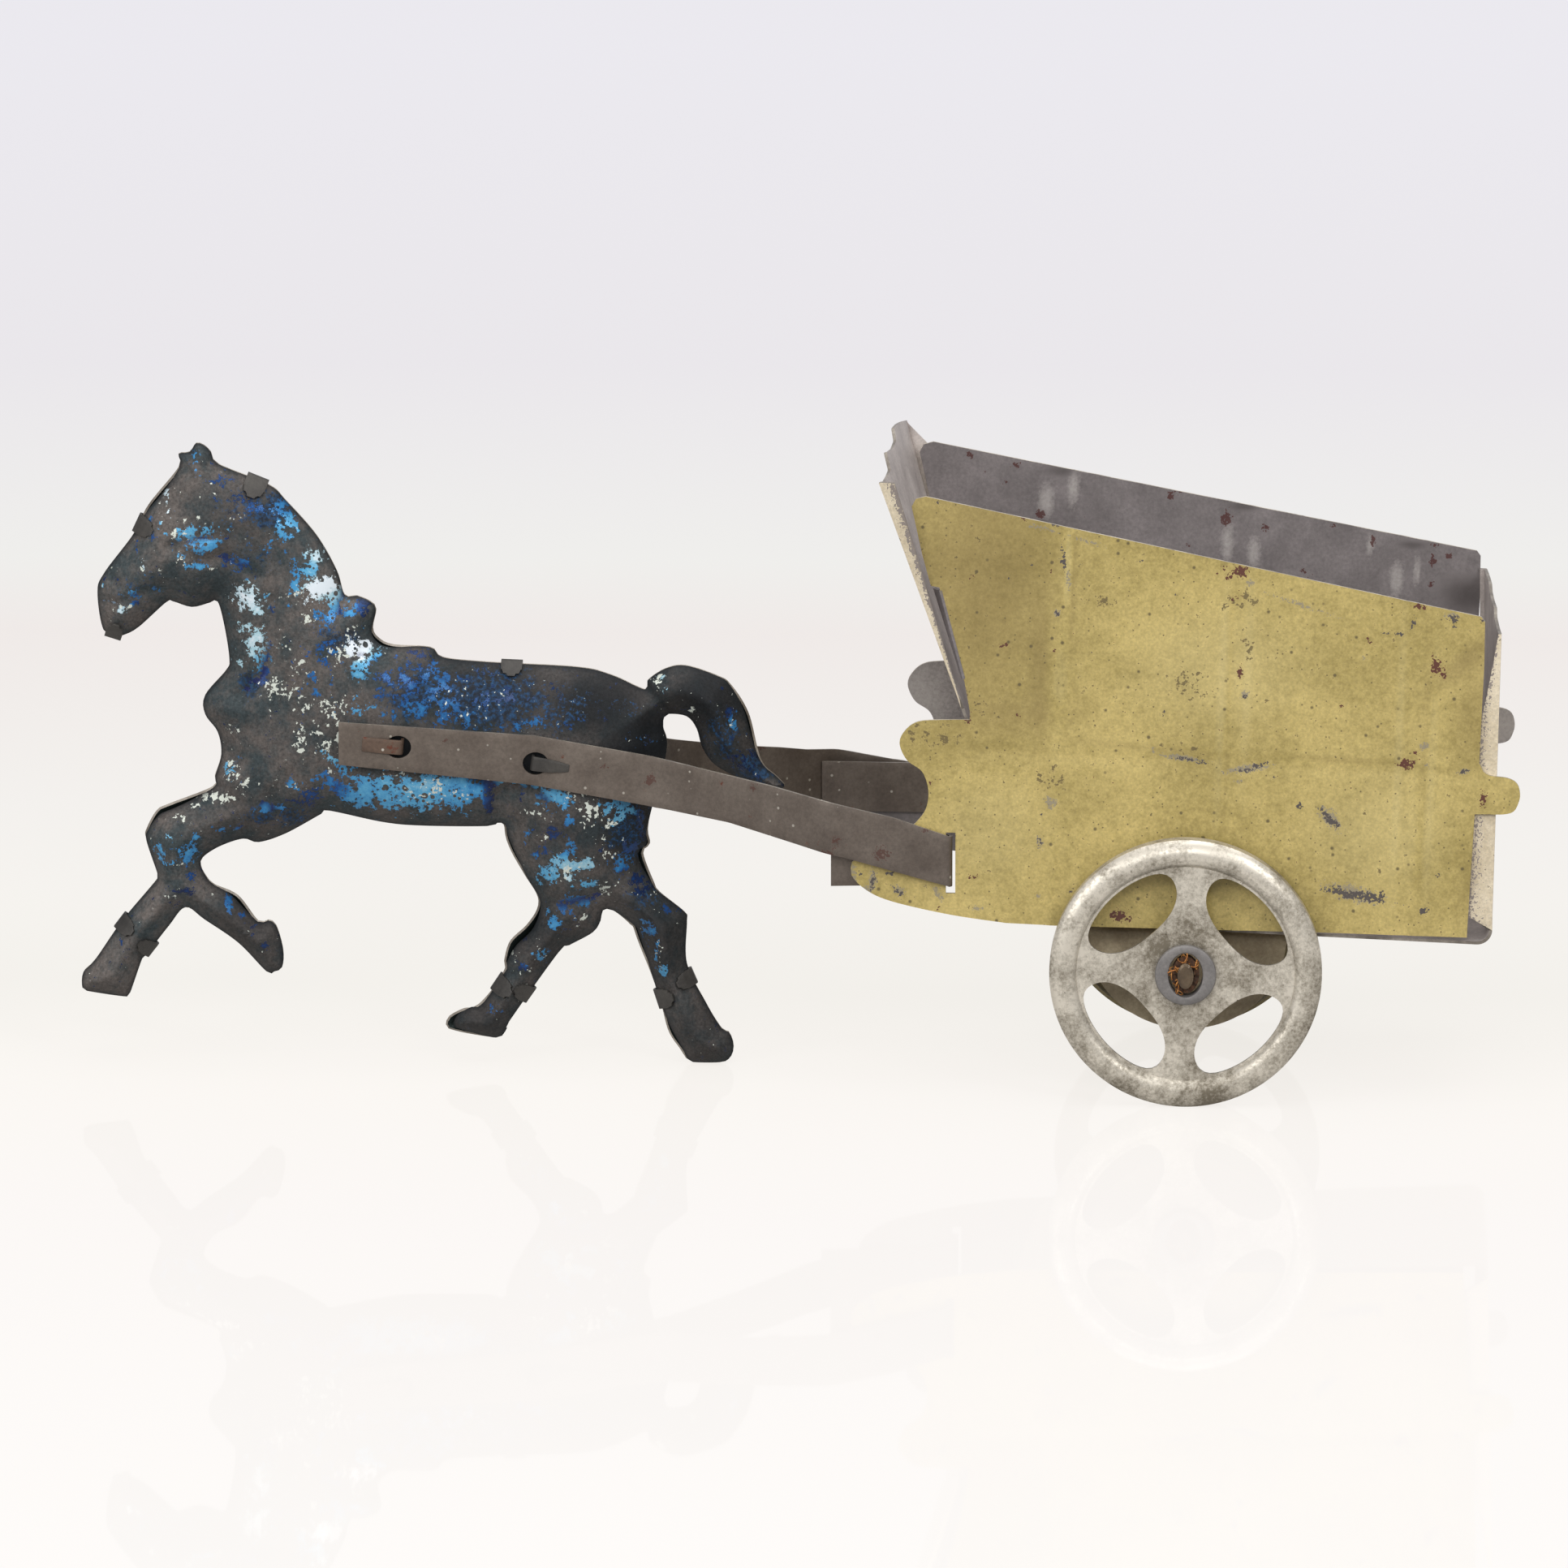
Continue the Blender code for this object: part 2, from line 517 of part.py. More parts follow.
def shaft(name, side, material, parent, hinge_x):
    """A flat strip from the horse's flank, out to the cart's side and back inside it."""
    slot_out = side_half_spacing(hinge_x) + seat_gap + tin / 2
    slot_in = side_half_spacing(hinge_x) - tin - seat_gap - tin / 2
    toe = tan(side_toe_in)
    front_y = shaft_face() + side * horse_offset_y
    run_y = slot_out + shaft_run_start_x * toe
    corners = [(SHAFT_TOP[0][0] * mm, front_y), (shaft_bend_x, front_y, shaft_bend_radius),
               (shaft_run_start_x, run_y, shaft_run_radius), (0.0, slot_out, shaft_fold_radius),
               (0.0, slot_in, shaft_fold_radius), (-shaft_inner_leg, slot_in - shaft_inner_leg * toe)]
    path = rounded_path(corners)
    run = [path[0]]
    for before, after in zip(path, path[1:]):
        pieces = max(1, round((after - before).length / shaft_station_step))
        for k in range(1, pieces + 1):
            run.append(before.lerp(after, k / pieces))
    bm = bmesh.new()
    rows = []
    folded = False
    for place in run:
        folded = folded or place.x > -0.5 * shaft_fold_radius
        x = 0.0 if folded else place.x
        droop = shaft_droop * place.x if folded else 0.0
        top = height_at(SHAFT_TOP, x) + droop
        bottom = height_at(SHAFT_BOTTOM, x) + droop
        rows.append((bm.verts.new((place.x, side * place.y, bottom)),
                     bm.verts.new((place.x, side * place.y, top))))
    for row, other in zip(rows, rows[1:]):
        bm.faces.new((row[0], row[1], other[1], other[0]))
    strip = add_object(name, bm, material, parent)
    thicken(strip, tin)
    for number, (x, z, _) in enumerate(TONGUES, start=1):
        size = (shaft_hole_length, 4 * tin, shaft_hole_height)
        place = (x * mm, side * shaft_face() + horse_offset_y, z * mm)
        hole = box_cutter(f"{name}_hole_{number}", size, place, parent, turn_y=-shaft_slope(x * mm))
        boolean(strip, hole, 'DIFFERENCE')
    return strip


# Cart

def side_outline():
    lug = curve_through(in_mm(SIDE_LUG), lug_step, False)
    sill = curve_through(in_mm(SIDE_SILL), sill_step, False)
    scallop = curve_through(in_mm(SIDE_SCALLOP), lug_step, False)
    corners = [Vector(p) for p in in_mm(SIDE_TOP)]
    bottom = [Vector(p) for p in in_mm(SIDE_BOTTOM)]
    front = [Vector(p) for p in in_mm(SIDE_FRONT)]
    return corners + lug + bottom + sill + scallop + front


def cart_side(name, side, material, parent):
    """A flat side with its scalloped front, rear lug, shaft slot and turned-in edge strip."""
    middle = side * (side_spacing_at_axle / 2 - tin / 2)
    panel = plate(name, side_outline(), tin, material, parent, (0, middle, 0))
    panel.rotation_euler = (0, 0, side * side_toe_in)
    slot = box_cutter(name + "_slot", (slot_width, 6 * tin, slot_height), (slot_x, 0, slot_z), panel,
                      turn_y=-slot_lean)
    boolean(panel, slot, 'DIFFERENCE')
    bm = bmesh.new()
    low = Vector(in_mm(SIDE_FRONT)[2])
    high = Vector(in_mm(SIDE_FRONT)[3])
    rows = []
    for share in (0.03, 0.5, 0.97):
        foot = low.lerp(high, share)
        width = edge_strip_width * (0.15 + 0.85 * share)
        ahead = width * cos(edge_strip_angle)
        inward = -side * width * sin(edge_strip_angle)
        rows.append([bm.verts.new((foot.x + strip_root, 0, foot.y)),
                     bm.verts.new((foot.x - strip_lip, 0, foot.y)),
                     bm.verts.new((foot.x - ahead, inward, foot.y))])
    for row, other in zip(rows, rows[1:]):
        for k in range(2):
            bm.faces.new((row[k], row[k + 1], other[k + 1], other[k]))
    strip = add_object(name + "_edge_strip", bm, material, panel)
    thicken(strip, tin * 0.98)
    boolean(panel, strip, 'UNION')
    return panel


def cart_tub(name, material, parent):
    """Front board, floor and rear board bent from one strip, with turned side edges."""
    floor_z = floor_underside + tin / 2
    lean = tan(front_board_lean)
    top_x = floor_front_x - (front_board_top_z - floor_z) * lean
    rear_x = rear_board_x - tin / 2
    corners = [(top_x, front_board_top_z), (floor_front_x, floor_z, bend_radius),
               (rear_x, floor_z, bend_radius), (rear_x, rear_board_top_z)]
    path = rounded_path(corners)
    front_run = [path[0].lerp(path[1], share) for share in (0.0, 0.12, 0.3, 0.5, 0.7, 0.85)]
    rear_run = [path[-2].lerp(path[-1], share) for share in (0.2, 0.45, 0.7, 0.9, 1.0)]
    run = front_run + path[1:-1] + rear_run
    bm = bmesh.new()
    rows = []
    turned = []
    for number, place in enumerate(run):
        half = side_half_spacing(place.x) - tin - seat_gap
        flange = 0.0
        flare = (place.y - front_flare_start_z) / (front_board_top_z - front_flare_start_z)
        if place.x < floor_front_x and flare > 0:
            half += (front_board_top_width / 2 - half) * flare
            flange = board_flange_width * flare
        up = (place.y - floor_z) / (rear_board_top_z - floor_z)
        at_rear = place.x > rear_x - 0.01 * mm and place.y > floor_z + 2 * bend_radius
        if at_rear:
            flange = board_flange_width * min(1.0, 3.2 * (1.04 - up))
        first = number == 0
        last = number == len(run) - 1
        row = []
        for share, rise in BOARD_CREST:
            x = place.x
            z = place.y
            if place.x < floor_front_x:
                x += front_board_skew * max(0.0, flare) * (share + 1) / 2
            if at_rear:
                x -= up * (rear_board_lean + rear_board_skew * (share + 1) / 2)
            if first or last:
                lift = rise * mm * (1.0 if first else rear_crest_share)
                z += lift
                x -= lift * lean if first else 0.0
            row.append(bm.verts.new((x, share * half, z)))
        rows.append(row)
        ends = None
        if flange:
            away = Vector((flange if place.x < 0 else -flange, 0, 0))
            ends = [bm.verts.new(row[0].co + away), bm.verts.new(row[-1].co + away)]
            if first:
                ends[1].co += Vector((lean, 0, -1)) * right_flange_drop
        turned.append(ends)
    for number in range(len(rows) - 1):
        row = rows[number]
        other = rows[number + 1]
        for k in range(len(row) - 1):
            bm.faces.new((row[k], row[k + 1], other[k + 1], other[k]))
        for end, corner in ((0, 0), (1, -1)):
            here = turned[number]
            there = turned[number + 1]
            if here and there:
                bm.faces.new((row[corner], other[corner], there[end], here[end]))
            elif here:
                bm.faces.new((row[corner], other[corner], here[end]))
            elif there:
                bm.faces.new((row[corner], other[corner], there[end]))
    tub = add_object(name, bm, material, parent)
    thicken(tub, tin, even=False)
    return tub


def axle_bearer(name, material, parent):
    """A U-shaped piece under the floor whose half-round ears carry the axle."""
    top = floor_underside - seat_gap - bearer_tin / 2
    half = bearer_ear_spacing / 2 - bearer_tin / 2
    fold = bearer_tin
    bm = bmesh.new()
    half_turn = 12
    ear = []
    for k in range(half_turn + 1):
        angle = pi * k / half_turn
        ear.append((-bearer_ear_radius * cos(angle), top - fold - (bearer_ear_radius - fold) * sin(angle)))
    near = [bm.verts.new((x, -half, z)) for x, z in ear]
    far = [bm.verts.new((x, half, z)) for x, z in ear]
    bm.faces.new(near)
    bm.faces.new(far[::-1])
    chain_front = [near[0]]
    chain_rear = [near[-1]]
    for y, z in ((-half + fold * 0.3, top - fold * 0.3), (-half + fold, top),
                 (half - fold, top), (half - fold * 0.3, top - fold * 0.3)):
        chain_front.append(bm.verts.new((-bearer_ear_radius, y, z)))
        chain_rear.append(bm.verts.new((bearer_ear_radius, y, z)))
    chain_front.append(far[0])
    chain_rear.append(far[-1])
    for k in range(len(chain_front) - 1):
        bm.faces.new((chain_front[k], chain_front[k + 1], chain_rear[k + 1], chain_rear[k]))
    bearer = add_object(name, bm, material, parent)
    thicken(bearer, bearer_tin)
    bore = bmesh.new()
    bmesh.ops.create_cone(bore, cap_ends=True, segments=24, radius1=axle_diameter / 2 + running_gap,
                          radius2=axle_diameter / 2 + running_gap,
                          depth=bearer_ear_spacing + 2 * cutter_reach)
    bmesh.ops.rotate(bore, verts=bore.verts, cent=(0, 0, 0), matrix=Matrix.Rotation(pi / 2, 3, 'X'))
    cutter = add_object("bearer_bore", bore, tools_material, parent)
    boolean(bearer, cutter, 'DIFFERENCE')
    return bearer


# Wheels

def wheel_stations():
    """Distances from the middle: the wheel's inner plane, web face and outer face."""
    inner = side_spacing_at_axle / 2 + wheel_side_gap
    outer = inner + rim_depth
    return inner, outer - rim_crown, outer


def window_outline():
    """A rounded window: the smaller of an oval and the rim's circle, softly joined."""
    outer = wheel_diameter / 2 - rim_width - window_to_rim
    softness = 7
    points = []
    for k in range(window_steps):
        angle = 2 * pi * k / window_steps
        up = abs(cos(angle)) / window_half_height
        along = abs(sin(angle)) / window_half_width
        oval = (up ** window_fullness + along ** window_fullness) ** (-1 / window_fullness)
        shift = window_middle_radius * cos(angle)
        circle = sqrt(outer ** 2 - (window_middle_radius * sin(angle)) ** 2) - shift
        reach = (oval ** -softness + circle ** -softness) ** (-1 / softness)
        points.append((window_middle_radius + reach * cos(angle), reach * sin(angle)))
    return points


def wheel(name, side, material, parent):
    """A stamped disc with a rolled rim, four windows and a hole for its collar."""
    inner, web, outer = wheel_stations()
    radius = wheel_diameter / 2
    rim_in = radius - rim_width
    hole = collar_diameter / 2 - collar_flange + seat_gap
    crown_r = radius - 0.52 * rim_width
    skin = [(hole, web), (rim_in, web), (rim_in + 0.18 * rim_width, outer - 0.22 * rim_crown),
            (crown_r, outer), (radius - 0.14 * rim_width, outer - 0.40 * rim_crown),
            (radius, outer - 1.1 * rim_crown), (radius, inner)]
    back = [(radius - tin, inner), (radius - tin, outer - 1.2 * rim_crown),
            (radius - 0.14 * rim_width - 0.7 * tin, outer - 0.4 * rim_crown - 0.8 * tin),
            (crown_r, outer - tin), (rim_in + 0.25 * rim_width, outer - 0.22 * rim_crown - 0.95 * tin),
            (rim_in + 0.1 * tin, web - tin), (hole, web - tin)]
    profile = [(r, side * y) for r, y in skin + back]
    disc = lathe(name, profile, material, parent, (0, 0, 0), segments=40)
    bm = bmesh.new()
    for k in range(window_count):
        turn = 2 * pi * (k + 0.5) / window_count + window_turn
        caps = []
        for y in (web - 4 * tin, web + 3 * tin):
            cap = [(r * cos(turn) - t * sin(turn), r * sin(turn) + t * cos(turn))
                   for r, t in window_outline()]
            caps.append([bm.verts.new((x, side * y, z)) for x, z in cap])
        ring_rows(caps, bm, closed=False)
        bm.faces.new(caps[0])
        bm.faces.new(caps[1][::-1])
    cutter = add_object(name + "_windows", bm, tools_material, parent)
    boolean(disc, cutter, 'DIFFERENCE')
    return disc


def bush_ends():
    """Distances from the middle: the packing's inner and outer face."""
    web = wheel_stations()[1]
    return web - tin - seat_gap, web + seat_gap + bush_proud


def hub_collar(name, side, material, parent):
    """A clinched bush: an outer flange, a tube through the disc and a rolled inner lip."""
    web = wheel_stations()[1]
    flange = collar_diameter / 2
    tube = flange - collar_flange
    low = hub_hole_width / 2
    front = web + seat_gap
    face = front + collar_front
    back = web - tin - seat_gap
    lip = back - collar_lip
    profile = [(low, lip), (flange - 0.6 * collar_round, lip), (flange, lip + collar_round),
               (flange - 0.6 * collar_round, back), (tube, back), (tube, front), (flange, front),
               (flange, face - collar_round), (flange - collar_round, face),
               (low + collar_round, face), (low, face - collar_round)]
    oval = (hub_hole_height / hub_hole_width, low + 1.2 * collar_round)
    return lathe(name, [(r, side * y) for r, y in profile], material, parent, (0, 0, 0), oval=oval)


def fibre_bush(name, side, material, parent):
    """The packing between the axle and the oval hole of the collar."""
    back, front = bush_ends()
    hole = axle_diameter / 2 + running_gap
    wide = hub_hole_width / 2 - seat_gap
    tall = hub_hole_height / 2 - seat_gap
    bm = bmesh.new()
    rows = []
    segments = 24
    for y, outer in ((back, False), (back, True), (front, True), (front, False)):
        row = []
        for k in range(segments):
            angle = 2 * pi * k / segments
            if outer:
                row.append(bm.verts.new((wide * cos(angle), side * y, tall * sin(angle))))
            else:
                row.append(bm.verts.new((hole * cos(angle), side * y, hole * sin(angle))))
        rows.append(row)
    ring_rows(rows, bm)
    return add_object(name, bm, material, parent)


def axle(name, material, parent):
    """A wire through the bearer, crimped inside each wheel and peened at its ends."""
    bush_back, bush_front = bush_ends()
    radius = axle_diameter / 2
    head_start = bush_front + seat_gap
    crimp_end = bush_back - collar_lip - seat_gap
    thin = radius ** 2 / (crimp_height / 2)
    head_thin = 0.95 * radius
    half = [(0.0, radius, radius), (crimp_end - crimp_length, radius, radius),
            (crimp_end - 0.75 * crimp_length, thin, crimp_height / 2),
            (crimp_end - 0.25 * crimp_length, thin, crimp_height / 2),
            (crimp_end, radius, radius), (head_start - 0.2 * mm, radius, radius),
            (head_start, head_thin, peened_end_height / 2),
            (head_start + 0.7 * peened_end_length, head_thin, peened_end_height / 2),
            (head_start + peened_end_length, 0.7 * head_thin, 0.4 * peened_end_height)]
    stations = [(-y, wide, tall) for y, wide, tall in half[:0:-1]] + half
    bm = bmesh.new()
    segments = 20
    rows = []
    for y, wide, tall in stations:
        rows.append([bm.verts.new((wide * cos(2 * pi * k / segments), y, tall * sin(2 * pi * k / segments)))
                     for k in range(segments)])
    ring_rows(rows, bm, closed=False)
    bm.faces.new(rows[0])
    bm.faces.new(rows[-1][::-1])
    return add_object(name, bm, material, parent)


start_empty()
tools_material = make_material("guide", (0.5, 0.5, 0.5), 0.5, 0.0)
blue_tin = make_material("blue_lacquered_tin", (0.06, 0.10, 0.16), 0.38, 0.75)
brown_tin = make_material("bare_brown_tin", (0.16, 0.13, 0.10), 0.48, 0.80)
yellow_tin = make_material("yellow_painted_tin", (0.42, 0.29, 0.05), 0.50, 0.10)
cream_tin = make_material("cream_painted_tin", (0.62, 0.56, 0.42), 0.50, 0.10)
grey_tin = make_material("bare_grey_tin", (0.10, 0.11, 0.12), 0.45, 0.80)
silver_tin = make_material("bare_silver_tin", (0.45, 0.44, 0.42), 0.35, 0.90)
fibre = make_material("brown_fibre", (0.30, 0.12, 0.04), 0.90, 0.0)

axle_x = 34.7 * mm
axle_centre = add_empty("axle_centre", (axle_x, 0, wheel_diameter / 2))
cart_frame = add_empty("cart_frame", (0, 0, 0), axle_centre)
cart_frame.rotation_euler = (0, cart_tilt, 0)
hinge_x = slot_x * cos(cart_tilt) + slot_z * sin(cart_tilt)
hinge_z = slot_z * cos(cart_tilt) - slot_x * sin(cart_tilt)
shaft_hinge = add_empty("shaft_hinge", (hinge_x, 0, hinge_z), axle_centre)

horse_edge = curve_through(in_mm(HORSE_OUTLINE), outline_step, True)
left_half = horse_half("horse_left_half", -1, slipped(horse_edge, LEFT_SLIPS), blue_tin, shaft_hinge)
right_half = horse_half("horse_right_half", 1, slipped(horse_edge, RIGHT_SLIPS), blue_tin, shaft_hinge)
boolean(right_half, seam_tabs(horse_edge, blue_tin, shaft_hinge), 'UNION')
boolean(left_half, shaft_tongues("left_tongues", -1, brown_tin, shaft_hinge), 'UNION')
boolean(right_half, shaft_tongues("right_tongues", 1, brown_tin, shaft_hinge), 'UNION')
shaft("shaft_left", -1, brown_tin, shaft_hinge, slot_x)
shaft("shaft_right", 1, brown_tin, shaft_hinge, slot_x)

cart_side("cart_side_left", -1, yellow_tin, cart_frame)
cart_side("cart_side_right", 1, yellow_tin, cart_frame)
cart_tub("cart_tub", cream_tin, cart_frame)
axle_bearer("axle_bearer", grey_tin, cart_frame)

axle("axle", grey_tin, axle_centre)
for word, side in (("left", -1), ("right", 1)):
    wheel("wheel_" + word, side, silver_tin, axle_centre)
    hub_collar("hub_collar_" + word, side, grey_tin, axle_centre)
    fibre_bush("fibre_bush_" + word, side, fibre, axle_centre)
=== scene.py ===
"""Dresses the horse-drawn cart penny toy: pressed, lacquered, painted and bare tinplate.

Metres, +Z up. The horse faces -X, and its left side faces -Y and the camera.
"""
from math import atan2, cos, exp, pi, radians, sin, sqrt, tan

import bpy
import numpy as np
from mathutils import Matrix, Vector


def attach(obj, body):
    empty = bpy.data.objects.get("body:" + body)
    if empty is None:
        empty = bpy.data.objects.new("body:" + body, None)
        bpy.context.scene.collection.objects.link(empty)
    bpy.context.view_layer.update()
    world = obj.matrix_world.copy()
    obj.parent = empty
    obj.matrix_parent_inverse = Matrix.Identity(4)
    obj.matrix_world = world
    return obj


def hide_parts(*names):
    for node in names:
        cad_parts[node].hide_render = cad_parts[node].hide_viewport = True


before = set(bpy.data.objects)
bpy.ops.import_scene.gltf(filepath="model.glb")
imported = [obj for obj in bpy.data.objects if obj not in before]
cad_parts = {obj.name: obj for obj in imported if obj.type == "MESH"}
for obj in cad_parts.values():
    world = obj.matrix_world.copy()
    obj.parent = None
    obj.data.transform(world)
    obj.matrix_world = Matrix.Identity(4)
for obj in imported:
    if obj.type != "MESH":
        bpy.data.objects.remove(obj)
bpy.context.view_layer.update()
bpy.ops.object.select_all(action='DESELECT')

mm = 0.001
SIDES = (("left", -1), ("right", 1))

# Places and sizes of the model
axle_centre = Vector((34.7, 0, 12.0)) * mm
wheel_place = Matrix.Translation(axle_centre)
cart_place = wheel_place @ Matrix.Rotation(radians(2), 4, 'Y')
horse_place = Matrix.Translation(Vector((13.944, -1.0, 21.080)) * mm)
hinge_place = Matrix.Translation(Vector((13.944, 0, 21.080)) * mm)
horse_shift = 1.0 * mm        # the horse stands to the left of the cart's middle
tin = 0.28 * mm
pressing_wall = 0.24 * mm
tab_wall = 0.22 * mm
bearer_wall = 0.40 * mm
seat_gap = 0.30 * mm
seam_gap = 0.30 * mm
half_depth = 2.60 * mm        # how far each half of the horse swells over its seam
edge_roll = 2.2 * mm          # how softly it rolls down to the seam
side_spacing = 29.4 * mm
side_toe_in = radians(2.54)
floor_middle = 3.44 * mm
hinge_x = -21.06 * mm         # the shafts' hinge from the axle, in the cart's own frame
shaft_face = seam_gap / 2 + half_depth + 0.15 * mm + seat_gap + tin / 2
shaft_run_x = -10.8 * mm      # where the shafts' straight run along the sides starts
slot_width, slot_height = 0.84 * mm, 5.45 * mm
slot_x, slot_z = -21.10 * mm, 8.35 * mm
board_lean = tan(radians(21.4))
board_front_x, board_top_z = -13.2 * mm, 42.5 * mm
board_flare_start = 22.0 * mm
board_top_half = 15.5 * mm
board_flange = 1.3 * mm
tail_x, tail_top_z = 26.8 * mm - tin / 2, 31.2 * mm
wheel_radius = 12.0 * mm
wheel_inner = 15.82 * mm
rim_width = 2.40 * mm
rim_crown = 0.60 * mm
rim_inside = wheel_radius - rim_width
web_y = wheel_inner + 2.0 * mm - rim_crown
collar_radius = 2.7 * mm
collar_tube = collar_radius - 0.45 * mm

# The horse's outline in millimetres from the shafts' hinge, from the ear round by the back
CREST = [
    (-67.3, 34.9), (-66.6, 34.7), (-66.0, 34.1), (-65.3, 33.0), (-60.9, 31.2), (-59.4, 29.8), (-56.7, 26.7),
    (-54.9, 23.5), (-54.2, 21.3), (-53.1, 21.2), (-51.9, 20.7), (-51.4, 20.0), (-51.7, 18.3), (-51.2, 17.4),
    (-49.9, 16.8),
]
BACK = [
    (-46.6, 16.6), (-45.5, 15.7), (-41.6, 15.3), (-33.6, 14.9), (-30.5, 14.2), (-27.5, 12.9),
]
TAIL = [
    (-27.3, 13.7), (-25.7, 14.8), (-23.9, 15.1), (-21.1, 14.2), (-19.9, 13.4), (-18.3, 10.8), (-17.2, 6.6),
    (-15.8, 5.1), (-15.1, 4.2), (-16.7, 4.0), (-20.8, 5.8), (-22.3, 7.5), (-22.9, 9.4), (-23.8, 10.5), (-25.4, 10.7),
    (-25.8, 10.4), (-25.9, 9.5),
]
STANDING_HIND_LEG = [
    (-25.6, 7.3), (-27.2, 0.9), (-27.1, -1.1), (-27.7, -2.0), (-26.7, -4.7), (-26.2, -5.5), (-24.0, -7.3),
    (-23.8, -8.1), (-23.8, -12.0), (-22.1, -15.6), (-20.7, -17.9), (-20.1, -18.2), (-19.7, -19.1), (-19.7, -20.0),
    (-20.1, -20.7), (-20.9, -21.0), (-23.3, -21.0), (-23.8, -20.7), (-24.2, -19.8), (-25.8, -16.6), (-28.0, -9.6),
    (-28.6, -8.5), (-30.4, -7.2), (-31.3, -7.2),
]
RAISED_HIND_LEG = [
    (-31.5, -8.1), (-32.2, -9.2), (-34.3, -10.4), (-35.3, -11.1), (-39.7, -17.4), (-39.9, -18.0), (-40.9, -18.9),
    (-44.5, -18.0), (-44.7, -17.6), (-44.3, -16.8), (-43.1, -16.1), (-42.1, -15.8), (-39.9, -12.6), (-39.9, -12.0),
    (-39.1, -10.5), (-37.5, -8.8), (-36.9, -6.5), (-38.2, -4.0), (-39.6, -0.9), (-40.0, 0.5),
]
BELLY = [
    (-40.7, 0.7), (-41.6, 0.4), (-47.4, 0.4), (-50.9, 0.7), (-55.7, 1.7), (-56.4, 1.4), (-59.6, -0.4), (-62.0, -1.2),
    (-63.4, -0.9),
]
RAISED_FORELEG = [
    (-65.5, -1.6), (-67.0, -2.6), (-67.2, -3.4), (-66.7, -4.4), (-66.0, -5.1), (-63.9, -6.1), (-62.1, -8.4),
    (-61.2, -8.3), (-60.5, -8.8), (-59.9, -11.0), (-60.0, -12.6), (-60.7, -13.0), (-61.4, -13.0), (-63.9, -10.4),
    (-66.9, -8.3), (-68.6, -7.2),
]
LEADING_FORELEG = [
    (-70.1, -8.9), (-72.1, -11.5), (-72.5, -11.9), (-73.6, -15.0), (-73.9, -15.4), (-77.5, -14.9), (-77.9, -14.6),
    (-77.8, -13.2), (-76.7, -12.0), (-74.3, -8.5), (-71.1, -4.6), (-71.1, -4.1), (-72.1, -1.0), (-72.0, 0.0),
    (-71.1, 1.6), (-70.0, 2.2),
]
CHEST = [
    (-66.1, 3.8), (-65.9, 4.8), (-65.3, 6.8), (-65.6, 8.8), (-66.7, 10.4), (-66.7, 12.1), (-64.8, 14.4),
    (-64.5, 15.4), (-64.9, 18.3), (-65.5, 20.6),
]
HEAD = [
    (-66.2, 20.5), (-67.8, 20.1), (-69.5, 20.6), (-70.1, 20.5), (-72.5, 18.3), (-73.7, 17.6), (-74.4, 17.5),
    (-75.7, 18.0), (-76.2, 21.4), (-75.6, 23.1), (-73.0, 26.6), (-71.6, 29.3), (-68.9, 32.7), (-68.9, 33.9),
    (-67.9, 34.1),
]
HORSE_OUTLINE = (CREST + BACK + TAIL + STANDING_HIND_LEG + RAISED_HIND_LEG + BELLY
                 + RAISED_FORELEG + LEADING_FORELEG + CHEST + HEAD)

# Swellings of the pressing: middle x, z, reach, height in millimetres
MUSCLES = [
    (-34.0, 7.0, 5.5, 0.25), (-33.0, 0.0, 3.2, 0.35), (-61.0, 5.0, 5.0, 0.25), (-61.0, 24.0, 4.0, -0.35),
    (-70.5, 25.5, 2.6, 0.30), (-47.0, 8.0, 7.0, -0.10), (-67.0, 25.7, 0.8, 0.30), (-67.3, 23.2, 1.8, 0.20),
    (-52.7, 15.9, 1.6, 0.15),
]

